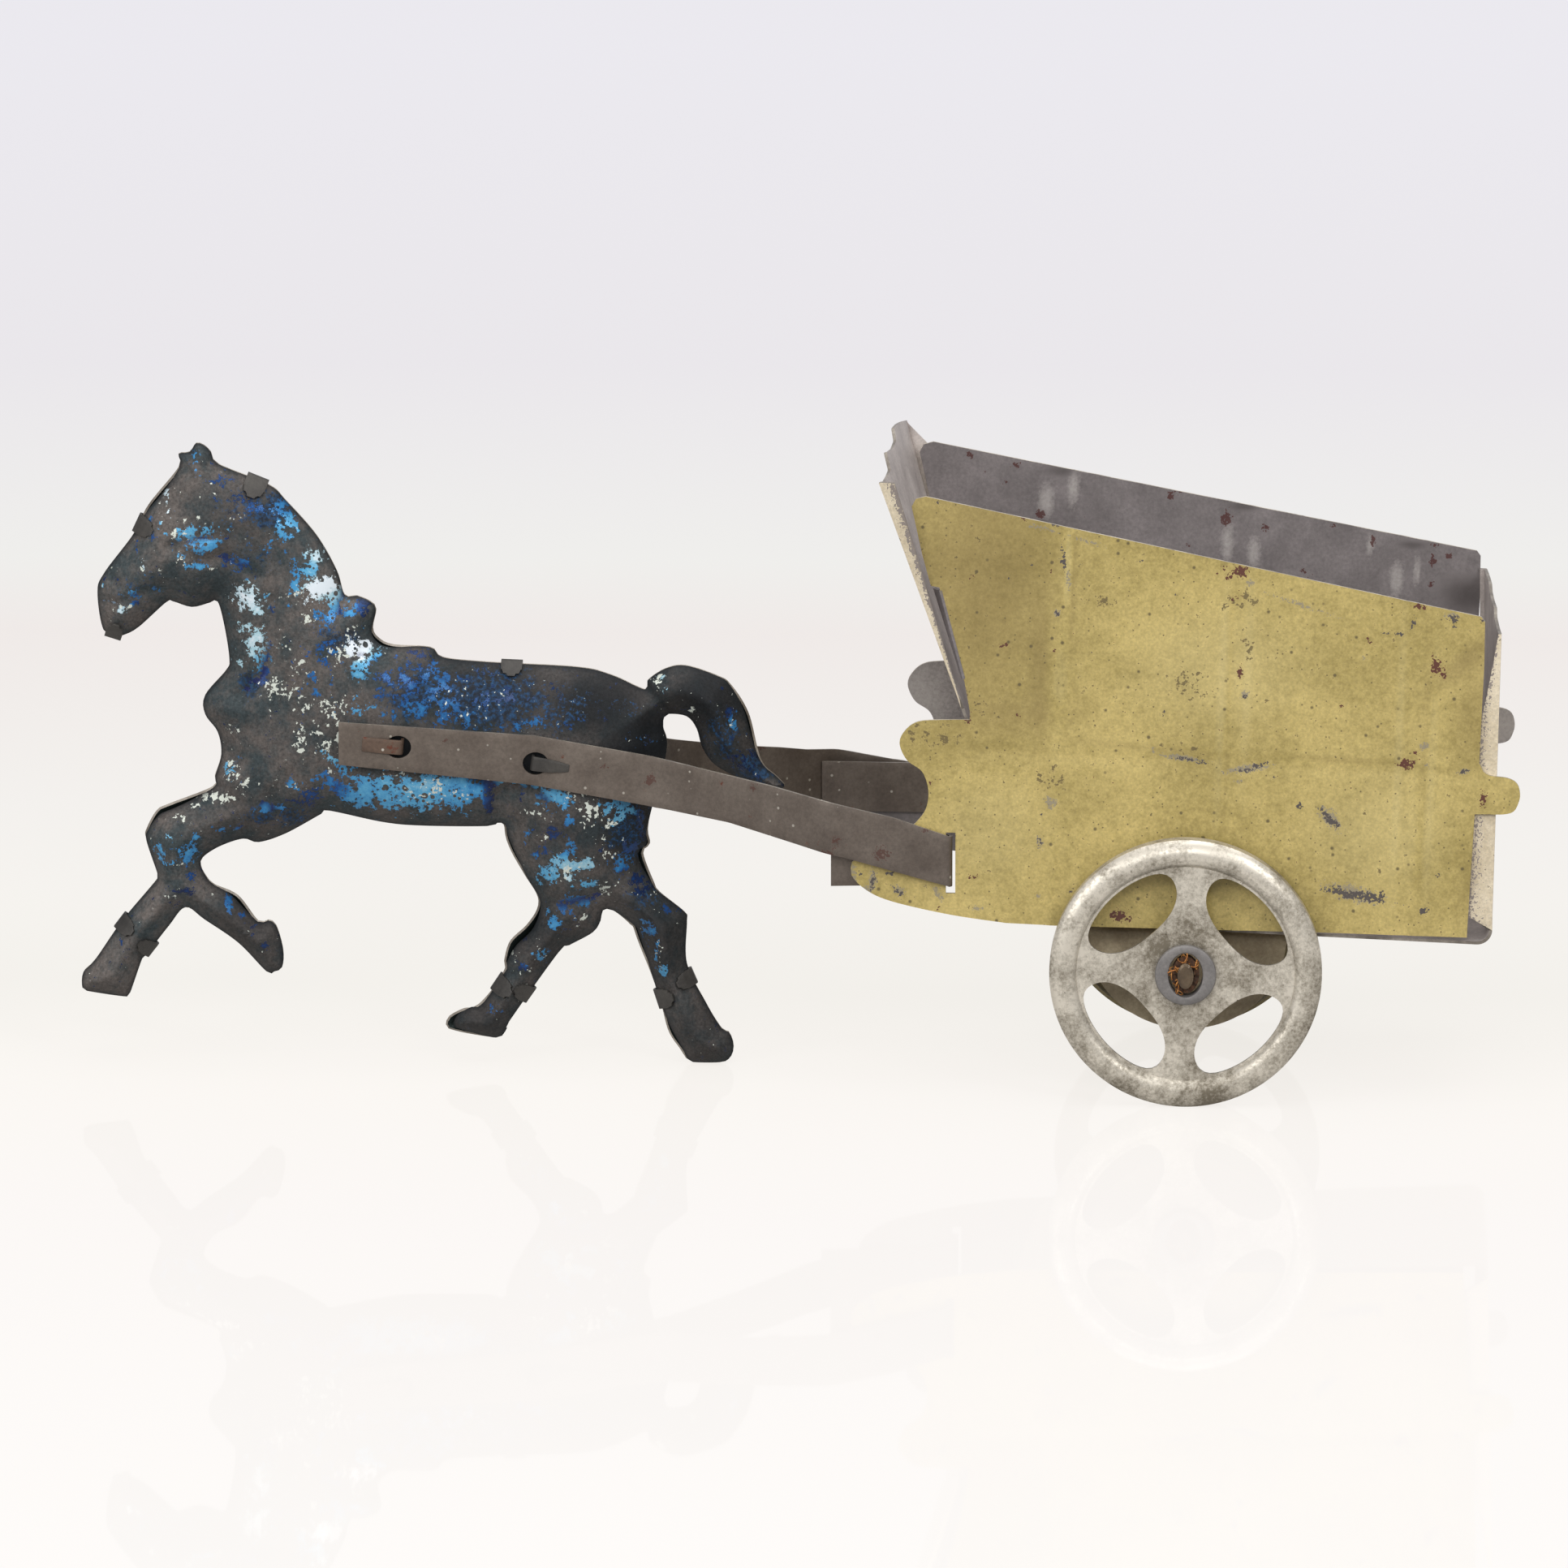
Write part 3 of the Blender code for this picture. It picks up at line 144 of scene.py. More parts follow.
# Creases and ridges: points, half width and height in millimetres
LINES = [
    ([(-69.5, 25.9), (-68.4, 25.5), (-66.6, 24.8), (-64.9, 25.0), (-63.5, 24.4), (-61.9, 23.2)], 0.5, -0.30),
    ([(-69.5, 26.0), (-68.2, 26.4), (-67.0, 26.7), (-65.6, 26.9)], 0.4, -0.25),
    ([(-64.0, 27.0), (-64.6, 26.0), (-64.6, 24.2), (-64.5, 22.5), (-65.2, 21.3)], 0.6, -0.25),
    ([(-60.5, 21.0), (-60.6, 18.8), (-60.8, 16.5), (-61.4, 14.6), (-62.5, 13.3), (-63.6, 12.2)], 0.7, -0.40),
    ([(-76.0, 20.7), (-74.2, 20.6), (-72.6, 21.5), (-70.6, 22.1)], 0.45, -0.25),
    ([(-75.0, 23.1), (-74.6, 22.6)], 0.5, -0.25),
    ([(-68.8, 34.7), (-68.1, 33.3), (-67.8, 32.2)], 0.5, -0.25),
    ([(-42.4, 5.6), (-41.1, 4.6), (-40.5, 3.4), (-40.7, 2.0)], 0.7, -0.45),
    ([(-40.5, 3.4), (-39.8, 4.0), (-38.0, 4.2), (-36.6, 3.6), (-35.7, 2.3)], 0.6, -0.25),
    ([(-28.8, 3.5), (-27.7, 5.3), (-27.2, 8.2), (-27.0, 10.8)], 0.8, -0.20),
    ([(-27.4, 13.4), (-26.6, 12.2), (-25.7, 11.0)], 0.5, -0.35),
    ([(-65.2, 7.5), (-63.2, 5.7), (-61.0, 3.5), (-60.6, 1.7)], 0.7, -0.25),
    ([(-65.9, 2.4), (-63.2, 2.4), (-60.6, 3.5), (-59.4, 5.3)], 0.8, -0.20),
    ([(-35.0, -6.3), (-32.4, -5.7), (-30.5, -4.8)], 0.8, -0.30),
    ([(-59.9, 11.9), (-57.8, 9.3), (-57.0, 6.4)], 1.0, -0.12),
    ([(-54.1, 21.7), (-54.6, 19.9), (-53.8, 18.1)], 0.6, -0.20),
    ([(-51.5, 17.7), (-50.2, 17.0), (-48.4, 16.5)], 0.6, -0.20),
    ([(-34.3, 1.7), (-32.4, -1.6), (-30.5, -4.7), (-28.1, -6.7), (-26.4, -8.5), (-25.6, -11.4)], 0.9, 0.35),
    ([(-35.0, -1.9), (-35.0, -5.6), (-36.3, -8.5), (-38.6, -11.4), (-40.4, -13.9)], 0.9, 0.25),
    ([(-63.2, 24.2), (-62.3, 20.6), (-61.9, 17.0), (-62.8, 14.1)], 1.1, 0.25),
    ([(-70.4, 28.6), (-69.5, 29.9), (-68.1, 31.5)], 0.8, 0.20),
    ([(-63.2, 5.3), (-66.8, 2.4), (-70.0, -0.1), (-69.8, -2.7), (-71.1, -5.6), (-72.9, -8.5)], 0.9, 0.30),
    ([(-70.4, 27.9), (-72.2, 25.0), (-74.0, 23.1)], 0.9, 0.20),
    ([(-26.2, 13.3), (-23.8, 13.7), (-21.6, 12.2), (-20.2, 9.3), (-18.5, 6.4)], 0.8, 0.30),
]

# Two ring marks of the die, in millimetres: middle x, z and radius
RINGS = [
    (-52.8, 15.1, 1.0), (-51.1, 12.9, 1.0),
]

# Where lacquer is left: middle x, z, reach in x and z, how much, and from deep blue (0) to pale (1); the near-white
# spots on the crest and wither and the thin streak on the forehead are painted highlights
LACQUER = [
    (-67.1, 27.3, 1.98, 0.71, 1, 0.6), (-66.7, 26, 1.34, 0.67, 1.05, 0.5), (-68.4, 25.2, 0.84, 0.63, 0.95, 0.6),
    (-67.1, 24.3, 1.3, 0.46, 0.9, 0.5), (-64, 24.7, 1.15, 0.88, 0.85, 0.3), (-62.4, 23.7, 0.88, 0.59, 0.55, 0.1),
    (-71.3, 28.1, 0.42, 0.31, 0.6, 0.3), (-71.3, 26.6, 0.75, 0.5, 0.62, 0.2), (-72.8, 25.6, 0.38, 0.31, 0.7, 0.15),
    (-75.2, 22.6, 0.52, 0.34, 0.75, 0.05), (-72.8, 21.6, 1.04, 0.55, 0.75, 0.5), (-71.1, 22, 0.54, 0.42, 0.7, 0.45),
    (-73.6, 20.3, 0.94, 0.46, 0.85, 0.9), (-75.4, 20.7, 0.54, 0.25, 0.75, 0.9), (-72.6, 20.4, 0.84, 0.67, 0.62, 0.05),
    (-75.9, 22.2, 0.27, 0.25, 0.8, 0.95), (-72, 24.3, 0.29, 0.55, 0.65, 0.95), (-67.3, 33.3, 0.63, 0.94, 0.42, 0.45),
    (-65.8, 33, 0.46, 0.63, 0.6, 0.15), (-65, 31.8, 1.04, 0.52, 0.8, 0.15), (-63.6, 30.2, 1.78, 0.88, 0.5, 0.1),
    (-61.9, 29.3, 1.3, 0.5, 0.85, 0.25), (-59.8, 29.1, 1.25, 0.63, 1, 0.35), (-59.1, 28, 0.75, 0.88, 1.05, 0.55),
    (-59.5, 26.8, 0.88, 0.42, 0.85, 0.5), (-57.8, 27.2, 0.54, 0.25, 0.8, 0.6), (-60.9, 26, 1.3, 0.55, 0.52, 0.4),
    (-59.6, 25.7, 0.54, 0.63, 0.62, 0.35), (-64, 26.8, 0.63, 0.25, 0.7, 0.1), (-56.6, 24.9, 0.84, 0.67, 1.05, 0.9),
    (-57.2, 23.8, 0.79, 1.05, 1.05, 0.6), (-56.2, 22.2, 1.75, 1.1, 1.15, 1), (-55.1, 21.1, 1.25, 0.88, 1.15, 0.75),
    (-54.3, 20.3, 1.67, 0.67, 1.05, 0.45), (-52.5, 20.4, 0.75, 0.84, 0.9, 0.02), (-55.8, 19.6, 1.3, 0.71, 0.95, 0.35),
    (-58.3, 22.8, 0.88, 1.26, 0.65, 0.45), (-58.8, 24.3, 0.54, 0.5, 0.65, 0.4), (-62.4, 21.3, 1.42, 1.15, 1, 0.92),
    (-61.7, 20.2, 0.84, 0.52, 0.95, 0.85), (-60.5, 20.3, 0.38, 0.31, 0.75, 0.3),
    (-61.2, 21.6, 0.42, 0.42, 0.75, 0.35), (-62.9, 18.4, 0.75, 0.63, 0.8, 0.85), (-61.9, 17.2, 1.17, 1.26, 1.1, 0.85),
    (-61.5, 15.7, 0.75, 1.05, 1.1, 0.65), (-61.2, 14.6, 0.38, 1.3, 1.1, 0.1), (-62.9, 15.5, 0.96, 0.63, 0.62, 0.85),
    (-62.1, 13.8, 0.67, 0.42, 0.85, 0.05), (-62.9, 13, 0.67, 0.5, 0.6, 0), (-52.7, 16.5, 1.6, 0.9, 1.3, 1.06),
    (-69.9, 30.0, 0.4, 1.5, 0.66, 0.95), (-52.8, 14.9, 0.96, 0.97, 1.05, 0.6), (-55.4, 16.1, 1.78, 1.26, 0.62, 0.25),
    (-51.6, 16.1, 0.88, 0.84, 0.85, 0.3), (-51.1, 12.9, 0.96, 0.92, 0.6, 0.22), (-49.2, 13.6, 2.3, 1.68, 0.8, 0.25),
    (-47.5, 16.1, 1.25, 0.84, 0.62, 0.07), (-52.3, 11.5, 2.09, 0.84, 0.55, 0.55),
    (-47.7, 11.5, 1.25, 0.63, 0.85, 0.32), (-49.8, 11.1, 1.67, 0.52, 0.72, 0.32), (-56.5, 14.2, 1.25, 1.68, 0.4, 0.3),
    (-55.8, 7.1, 0.67, 0.55, 0.75, 0.65), (-57.3, 9.6, 0.63, 1.89, 0.3, 0.2), (-46.1, 13.6, 1.25, 1.68, 0.78, 0.29),
    (-45.4, 11.5, 1.88, 1.26, 0.85, 0.29), (-42.9, 10.6, 1.67, 0.84, 0.8, 0.32), (-40.6, 10, 1.25, 0.67, 0.65, 0.29),
    (-41.3, 14, 1.25, 1.05, 0.6, 0.11), (-39.8, 12.7, 1.67, 0.84, 0.65, 0.09), (-41.7, 12.1, 1.25, 0.84, 0.62, 0.22),
    (-37.3, 10.3, 1.21, 0.88, 0.85, 0.32), (-33.5, 10, 0.96, 0.73, 0.6, 0.2), (-35, 12.7, 1.46, 0.84, 0.42, 0.05),
    (-27.5, 9, 0.84, 0.76, 0.5, 0.4), (-28.7, 9.4, 0.63, 0.5, 0.4, 0.3), (-31.2, 11.1, 1.25, 0.84, 0.3, 0.05),
    (-38.3, 15.3, 1.46, 0.63, 0.4, 0.04), (-26.3, 13.9, 0.71, 0.71, 0.55, 0.85), (-20.1, 11.1, 0.46, 0.55, 1, 0.02),
    (-19.7, 10.3, 0.46, 0.63, 0.85, 0.45), (-19.7, 8.8, 0.38, 0.38, 0.62, 0.1), (-18.7, 6.7, 1.3, 1.01, 0.68, 0.02),
    (-17.7, 5.7, 0.84, 0.38, 0.5, 0.1), (-46.3, 4.8, 1.25, 1.26, 0.95, 0.55), (-44.4, 4.9, 1.5, 0.73, 1.15, 0.55),
    (-42.6, 3.9, 1.3, 0.94, 1.15, 0.45), (-41.2, 3.9, 0.46, 1.39, 1.1, 0.02), (-45, 3.1, 1.67, 0.63, 0.92, 0.5),
    (-39.4, 5, 2.3, 0.46, 1.15, 0.6), (-37.2, 4.7, 1.78, 0.5, 1.1, 0.55), (-35.5, 3.8, 1.46, 0.8, 1, 0.55),
    (-34.8, 3, 0.88, 0.63, 0.92, 0.5), (-34.2, 1.6, 0.63, 0.63, 0.95, 0.35), (-29.7, 3.1, 1.04, 0.76, 1.05, 0.55),
    (-30.1, 1.8, 1.25, 0.8, 0.9, 0.65), (-28.9, 2.2, 1.04, 0.5, 0.85, 0.6), (-27.8, 1.4, 0.46, 1.3, 1.05, 0.1),
    (-27.8, -0.2, 0.42, 0.88, 0.95, 0.03), (-35.6, 0.1, 1.09, 0.8, 0.9, 0.05), (-36.7, -1.3, 0.88, 0.67, 0.65, 0.12),
    (-34.3, -1.1, 0.84, 1.05, 0.85, 0.4), (-37.3, -2, 0.42, 0.42, 0.85, 0.3), (-34.6, -2.8, 1.5, 1.09, 1, 0.7),
    (-36.2, -3.5, 1.09, 1.01, 1, 0.6), (-34.4, -3.2, 0.38, 0.84, 1.1, 1), (-32.9, -2.6, 0.94, 0.73, 0.95, 0.75),
    (-32.4, -4.3, 0.63, 0.63, 0.85, 0.6), (-33.3, -5.9, 1.3, 0.71, 1.05, 0.42), (-34.4, -6.7, 0.96, 0.71, 0.95, 0.3),
    (-32.2, -5.7, 0.84, 0.46, 0.95, 0.15), (-35.6, -8, 0.63, 0.76, 0.85, 0.45), (-36.1, -7.2, 0.42, 0.34, 0.65, 0.5),
    (-34.4, -8.7, 0.31, 0.31, 0.75, 0.05), (-28.9, -1.1, 0.88, 0.63, 1, 0.1), (-29.6, -2.6, 0.88, 1.05, 1, 0.35),
    (-29.4, -3.4, 0.42, 0.38, 0.95, 0), (-28.1, -4.5, 1.09, 1.01, 0.85, 0.02), (-25.8, -7, 1.09, 0.8, 0.55, 0.15),
    (-27.1, -8.7, 0.71, 0.84, 0.85, 0.35), (-26.4, -10.6, 0.31, 1.05, 0.75, 0.45),
    (-25.9, -12.3, 0.38, 0.55, 0.95, 0.55), (-27.8, -7.8, 0.33, 0.38, 0.55, 0.4),
    (-37.9, -0.2, 0.31, 0.67, 0.65, 0.35), (-37, -11, 0.54, 0.5, 0.85, 0.5), (-38.6, -12.2, 0.75, 0.42, 0.95, 0.03),
    (-38.1, -12, 0.54, 0.21, 0.65, 0.6), (-39.3, 3.4, 1.98, 0.34, 0.4, 0.02), (-53.8, 6.2, 1.18, 0.59, 1.05, 0.5),
    (-52.9, 4.8, 1.88, 0.9, 1, 0.5), (-52, 4, 1.41, 1.09, 0.95, 0.5), (-54.4, 4, 0.99, 0.99, 1.05, 0.15),
    (-50, 5, 1.88, 0.9, 1.05, 0.6), (-48.2, 3.8, 1.41, 1.04, 0.92, 0.55), (-46.1, 4.1, 1.41, 1.18, 0.82, 0.6),
    (-44, 4.3, 1.65, 1.18, 1.15, 0.45), (-42.4, 4.5, 1.08, 0.95, 1.15, 0.3), (-41.3, 3.7, 0.42, 1.37, 1.1, 0),
    (-44.9, 2.8, 1.41, 0.43, 0.7, 0.45), (-47.7, 2.4, 1.41, 0.35, 0.6, 0.5), (-55.5, 4.8, 0.94, 1.42, 0.85, 0.3),
    (-56.7, 5, 1.18, 0.59, 0.75, 0.35), (-55.4, 6.8, 0.56, 0.33, 0.95, 0.7), (-57.1, 3.6, 1.18, 0.8, 0.85, 0.1),
    (-58.5, 4.3, 0.94, 0.59, 0.8, 0.45), (-58.1, 2.8, 1.18, 0.66, 0.7, 0.05), (-60.9, 2.2, 1.41, 0.66, 0.82, 0.4),
    (-59, 1.5, 1.41, 0.66, 0.4, 0.15), (-61.4, 0.8, 1.41, 0.43, 0.45, 0.1), (-65.1, 0.3, 1.65, 0.28, 0.85, 0.35),
    (-63.2, 0.4, 0.71, 0.24, 0.7, 0.05), (-64.4, 5.7, 0.66, 0.85, 0.65, 0.65), (-70.1, -0.4, 0.56, 0.33, 0.6, 0.7),
    (-70.9, -1.6, 0.47, 0.71, 0.85, 0.5), (-70.2, -2.8, 0.61, 0.61, 0.85, 0.5), (-68.2, -1.8, 0.78, 0.95, 1.1, 0.42),
    (-67.9, -4.2, 0.52, 0.71, 0.95, 0.15), (-67.6, -0.5, 0.35, 0.47, 0.7, 0.45),
    (-68.4, -5.4, 1.08, 0.47, 0.92, 0.02), (-69.6, -6.8, 0.71, 0.47, 0.55, 0), (-64.7, -6.6, 0.42, 0.95, 0.88, 0.3),
    (-63.4, -7.7, 0.33, 0.59, 0.6, 0.25), (-61.4, -10.5, 0.42, 0.43, 0.65, 0.05),
    (-62.7, -8.9, 0.71, 0.71, 0.35, 0.05), (-74.4, -10.1, 0.47, 0.47, 0.6, 0.1), (-74.5, -12.7, 0.71, 0.71, 0.35, 0),
    (-40.9, -16.3, 0.47, 0.35, 0.75, 0.3), (-52.6, 3.6, 2.2, 1.4, 1.2, 0.5), (-49.8, 4, 2.4, 1.5, 1.25, 0.55),
    (-46.9, 3.9, 2.4, 1.6, 1.25, 0.6), (-44.2, 3.8, 2.2, 1.6, 1.2, 0.5), (-41.4, 3.4, 0.45, 1.7, 1.25, 0),
]

# Where it came off but for small pale flecks: middle x, z, reach in x and z, how many
FLECKS = [
    (-59.9, 13.2, 2.09, 1.15, 0.85), (-58.1, 15.3, 1.25, 1.26, 0.7), (-59.6, 17.4, 1.04, 1.05, 0.65),
    (-57.9, 11.5, 1.04, 1.05, 0.7), (-58, 8.3, 0.63, 1.68, 0.9), (-55.4, 11.5, 1.67, 1.26, 0.8),
    (-64.2, 9.2, 0.84, 0.63, 0.6), (-60.7, 11.1, 0.42, 0.63, 0.5), (-64, 7.3, 0.63, 0.42, 0.45),
    (-56.8, 19.9, 0.84, 0.76, 0.7), (-56.3, 9.4, 0.84, 1.68, 0.6), (-54.6, 9.2, 0.19, 1.68, 1.2),
    (-67.7, 28.3, 1.88, 0.42, 0.6), (-68.8, 27, 0.84, 0.5, 0.95), (-63.4, 28.5, 0.88, 0.63, 0.5),
    (-54.6, 16.3, 1.25, 1.05, 0.95), (-53.5, 18.2, 1.04, 0.94, 0.8), (-68.5, 24.7, 0.63, 0.5, 0.9),
    (-65.9, 23.9, 0.63, 0.25, 0.8), (-69.2, 32, 0.42, 0.29, 0.6), (-70.4, 29.1, 0.5, 0.84, 0.6),
    (-72.1, 24.1, 0.46, 0.63, 0.8), (-73.6, 20.2, 1.25, 0.42, 0.9), (-58.3, 21.8, 0.84, 1.05, 0.7),
    (-57.3, 19.5, 1.04, 0.84, 0.6), (-70.5, 23.5, 1.25, 0.63, 0.35), (-66.9, 30.6, 2.51, 1.05, 0.3),
    (-74.6, 23.9, 1.25, 1.26, 0.3), (-26.3, 13.9, 0.79, 0.8, 0.95), (-23.3, 11.3, 0.46, 0.55, 0.9),
    (-19.8, 10.3, 0.33, 0.25, 1.1), (-37.3, 2.1, 1.09, 0.38, 1.1), (-35.7, 1.6, 0.63, 0.29, 0.9),
    (-32.3, 2.5, 1, 1.39, 0.85), (-32.7, 1.2, 0.63, 0.63, 0.75), (-30.4, 1, 0.96, 0.63, 0.9),
    (-31.4, -0.1, 0.63, 0.42, 0.8), (-31, -1, 0.5, 0.63, 0.8), (-30.5, -1.8, 0.63, 0.84, 0.8),
    (-29.3, -0.3, 0.5, 0.42, 0.7), (-36.2, -0.3, 0.84, 0.29, 1), (-34.4, -3.3, 0.38, 0.76, 1.1),
    (-31.1, -4.9, 0.71, 1.05, 0.95), (-29.6, -4.3, 0.5, 0.29, 1), (-26.6, -5.6, 0.42, 0.29, 0.95),
    (-32.9, -7.6, 0.92, 0.42, 0.95), (-33.5, -8.1, 0.42, 0.29, 0.8), (-37.5, -12.5, 0.84, 0.25, 0.7),
    (-42.5, 12.1, 3.34, 2.31, 0.35), (-32.9, 11.3, 0.42, 0.29, 0.6), (-44.6, 3.7, 1.88, 1.05, 0.6),
    (-33.7, 3.9, 1.46, 0.84, 0.7), (-37.1, -11, 0.84, 0.84, 0.4), (-20.2, 7.5, 0.29, 0.29, 0.6),
    (-26.2, -11, 0.54, 1.68, 0.5), (-33.3, -2.3, 1.04, 0.84, 0.6), (-66.3, 3.1, 1.69, 0.47, 1.15),
    (-64.7, 3, 0.94, 0.61, 1), (-68.9, 1.2, 1.08, 0.57, 0.8), (-64.2, 5.5, 0.85, 1.09, 0.8),
    (-63.4, 4.5, 0.52, 0.95, 0.9), (-67.6, 2.2, 0.71, 0.47, 0.7), (-62.3, 4.5, 0.94, 0.71, 0.5),
    (-63.9, 9, 0.33, 0.47, 0.6), (-60.1, 4.8, 0.52, 0.52, 0.75), (-58.7, 4.1, 0.61, 0.61, 0.7),
    (-56, 7.9, 1.03, 1.42, 0.6), (-69.8, -6, 0.42, 0.31, 1.2), (-66.3, -6, 0.52, 0.38, 0.8),
    (-61.6, -10.9, 0.33, 0.43, 0.8), (-73.8, -12.5, 0.28, 0.28, 0.9), (-71.2, -7, 0.33, 0.33, 0.6),
    (-40.4, -14.1, 0.42, 0.28, 0.7), (-49.8, 5.6, 0.38, 0.38, 1), (-46.1, 4.3, 1.41, 1.18, 0.85),
    (-55.4, 5.7, 0.42, 0.38, 1.1), (-48, 3.6, 1.41, 0.95, 0.6), (-39.5, -11.2, 0.47, 0.47, 1),
    (-58.1, 9.3, 0.52, 1.65, 0.85), (-68.9, -2.9, 0.61, 0.28, 0.9), (-47.7, 5, 2.12, 0.95, 0.5),
]

# Where a thin film of it tints the metal: middle x, z, reach in x and z, how much
FILM = [
    (-48.0, 12.8, 4.5, 3.2, 0.70), (-41.0, 12.0, 6.0, 3.4, 0.75), (-35.0, 11.5, 4.0, 3.0, 0.5),
    (-60.5, 29.0, 3.0, 1.8, 0.7), (-29.0, 11.5, 3.0, 2.0, 0.3), (-20.5, 9.0, 2.0, 3.0, 0.55),
    (-17.5, 6.0, 2.6, 2.0, 0.75), (-54.5, 17.5, 2.6, 2.0, 0.6), (-29.0, 0.5, 2.6, 4.0, 0.6),
    (-27.5, -5.0, 2.5, 2.6, 0.5), (-72.5, 22.0, 3.0, 2.0, 0.45), (-62.5, 25.0, 4.0, 2.0, 0.45),
    (-60.0, 1.5, 4.0, 1.6, 0.6), (-63.0, 29.5, 3.5, 2.5, 0.5), (-62.6, 13.4, 1.2, 1.6, 0.7),
]

# How dark the bare metal is, partly tarnish and partly painted shade over the back, rump and hind legs: middle x, z,
# reach in x and z, how much
DARK_TARNISH_AND_SHADE = [
    (-41.0, 13.5, 9.0, 5.0, 0.80), (-31.5, 12.0, 7.0, 4.5, 0.95), (-27.0, 8.0, 7.0, 6.0, 1.0),
    (-21.5, 12.5, 6.0, 5.0, 0.95), (-19.0, 7.5, 4.0, 4.5, 0.7), (-28.0, 0.5, 5.0, 6.0, 0.85),
    (-33.5, 1.0, 5.0, 4.0, 0.5), (-60.0, 10.0, 5.0, 6.0, 0.10), (-26.0, -9.0, 5.0, 7.0, 0.75),
    (-62.0, 2.0, 6.0, 3.0, 0.35), (-22.0, -18.5, 4.0, 5.0, 0.6), (-37.0, -9.0, 5.0, 5.0, 0.65),
    (-42.0, -17.0, 4.0, 3.0, 0.7), (-62.5, -7.5, 4.0, 6.0, 0.65), (-48.0, 1.8, 8.0, 1.6, 0.2),
    (-63.0, 29.0, 5.0, 4.5, 0.35), (-66.0, 22.0, 3.0, 2.5, 0.2), (-52.5, 9.5, 5.0, 4.0, 0.25),
]

# Fold-over tabs: a point near the edge, width and reach in millimetres
TABS = [
    (-74.7, 17.2, 1.5, 1.3), (-73.0, 28.0, 1.7, 1.5), (-61.7, 31.9, 2.0, 1.5), (-39.2, 15.4, 1.9, 1.0),
    (-74.2, -8.7, 1.6, 1.4), (-71.8, -10.7, 1.5, 1.3), (-40.8, -13.5, 1.7, 1.5), (-38.0, -15.0, 1.6, 1.4),
    (-25.6, -15.0, 1.8, 1.4), (-23.9, -13.6, 1.5, 1.4),
]

# Where one half's edge misses the common outline: middle x, z, reach and shift x, z in millimetres
LEFT_SLIPS = [
    (-70.5, 3.1, 3.5, 0.25, -0.50), (-62.5, -5.4, 2.0, -0.35, -0.60), (-50.6, 17.8, 1.8, -0.20, -0.35),
    (-18.2, 10.0, 3.0, -0.30, -0.10), (-70.9, 30.4, 2.5, 0.30, -0.15), (-27.3, -2.6, 2.2, -0.50, 0.0),
]
RIGHT_SLIPS = [
    (-38.5, -9.5, 2.8, -0.75, 0.25), (-44.0, -17.0, 2.5, -0.80, -0.20), (-38.9, -1.5, 2.6, -0.35, 0.0),
    (-28.0, -9.5, 3.0, -0.35, 0.0), (-24.5, -18.5, 2.0, -0.45, 0.0),
]

# Shaft edges in millimetres from the hinge, and lanced tongues: root x, z, length, how far the end narrows
SHAFT_TOP = [
    (-54.6, 10.4), (-37.2, 9.3), (-25.6, 7.3), (-16.0, 6.2), (-10.9, 5.4), (-5.1, 4.1), (0.0, 2.45),
]
SHAFT_BOTTOM = [
    (-54.6, 6.55), (-37.8, 4.9), (-26.3, 2.9), (-19.7, 2.4), (-13.8, 1.3), (-9.4, 0.45), (0.0, -2.05),
]
SHAFT_RUST = [
    (-26.9, 5.4, 0.7), (-6.1, 0.8, 0.9), (-10.0, 1.9, 0.6), (-10.9, 0.6, 0.7), (-31.0, 6.5, 0.4), (-2.2, 3.0, 0.5),
    (-17.5, 5.9, 0.5), (-45.3, 8.6, 0.4),
]
RIGHT_SAG = [
    (-54.6, 0.0), (-32.0, 0.3), (-26.0, 0.4), (-20.0, -0.4), (-13.5, -0.85), (-6.0, -0.6), (0.0, 0.0),
]
TONGUES = [
    (-49.3, 8.2, -3.5, 0.0), (-37.1, 6.8, 3.3, 0.5),
]

# The cart side's outline in millimetres from the axle, in the cart's own frame
SIDE_TOP = [
    (-25.7, 40.1), (-25.35, 40.8), (-24.5, 41.05), (24.6, 32.75), (24.95, 32.3), (25.05, 28.5), (25.0, 19.7),
]
SIDE_LUG = [
    (25.4, 18.95), (26.0, 18.6), (27.55, 18.45), (28.4, 18.0), (28.7, 17.1), (28.6, 16.3), (28.2, 15.5), (27.3, 15.2),
    (26.0, 15.15),
]
SIDE_BOTTOM = [
    (24.8, 15.1), (24.6, 4.0), (11.9, 3.8), (-10.9, 3.2),
]
SIDE_SILL = [
    (-16.0, 3.2), (-21.0, 3.7), (-26.05, 4.6), (-28.4, 5.5), (-29.8, 6.8), (-29.8, 8.0),
]
SIDE_SCALLOP = [
    (-24.4, 11.7), (-23.5, 13.0), (-23.3, 14.7), (-23.9, 16.4), (-25.3, 17.4), (-26.0, 18.9), (-25.5, 20.1),
    (-24.4, 20.9), (-22.4, 21.15),
]
SIDE_FRONT = [
    (-19.9, 21.3), (-19.9, 22.0), (-20.5, 24.7), (-23.0, 33.0), (-23.75, 33.1), (-24.6, 35.8),
]

# Where the side's faint ribs stand, in millimetres from the axle
RIBS = (-10.9, 3.2, 19.0)

# Marks on the sides in millimetres from the axle: middle x, z, half width and half height, turn in degrees

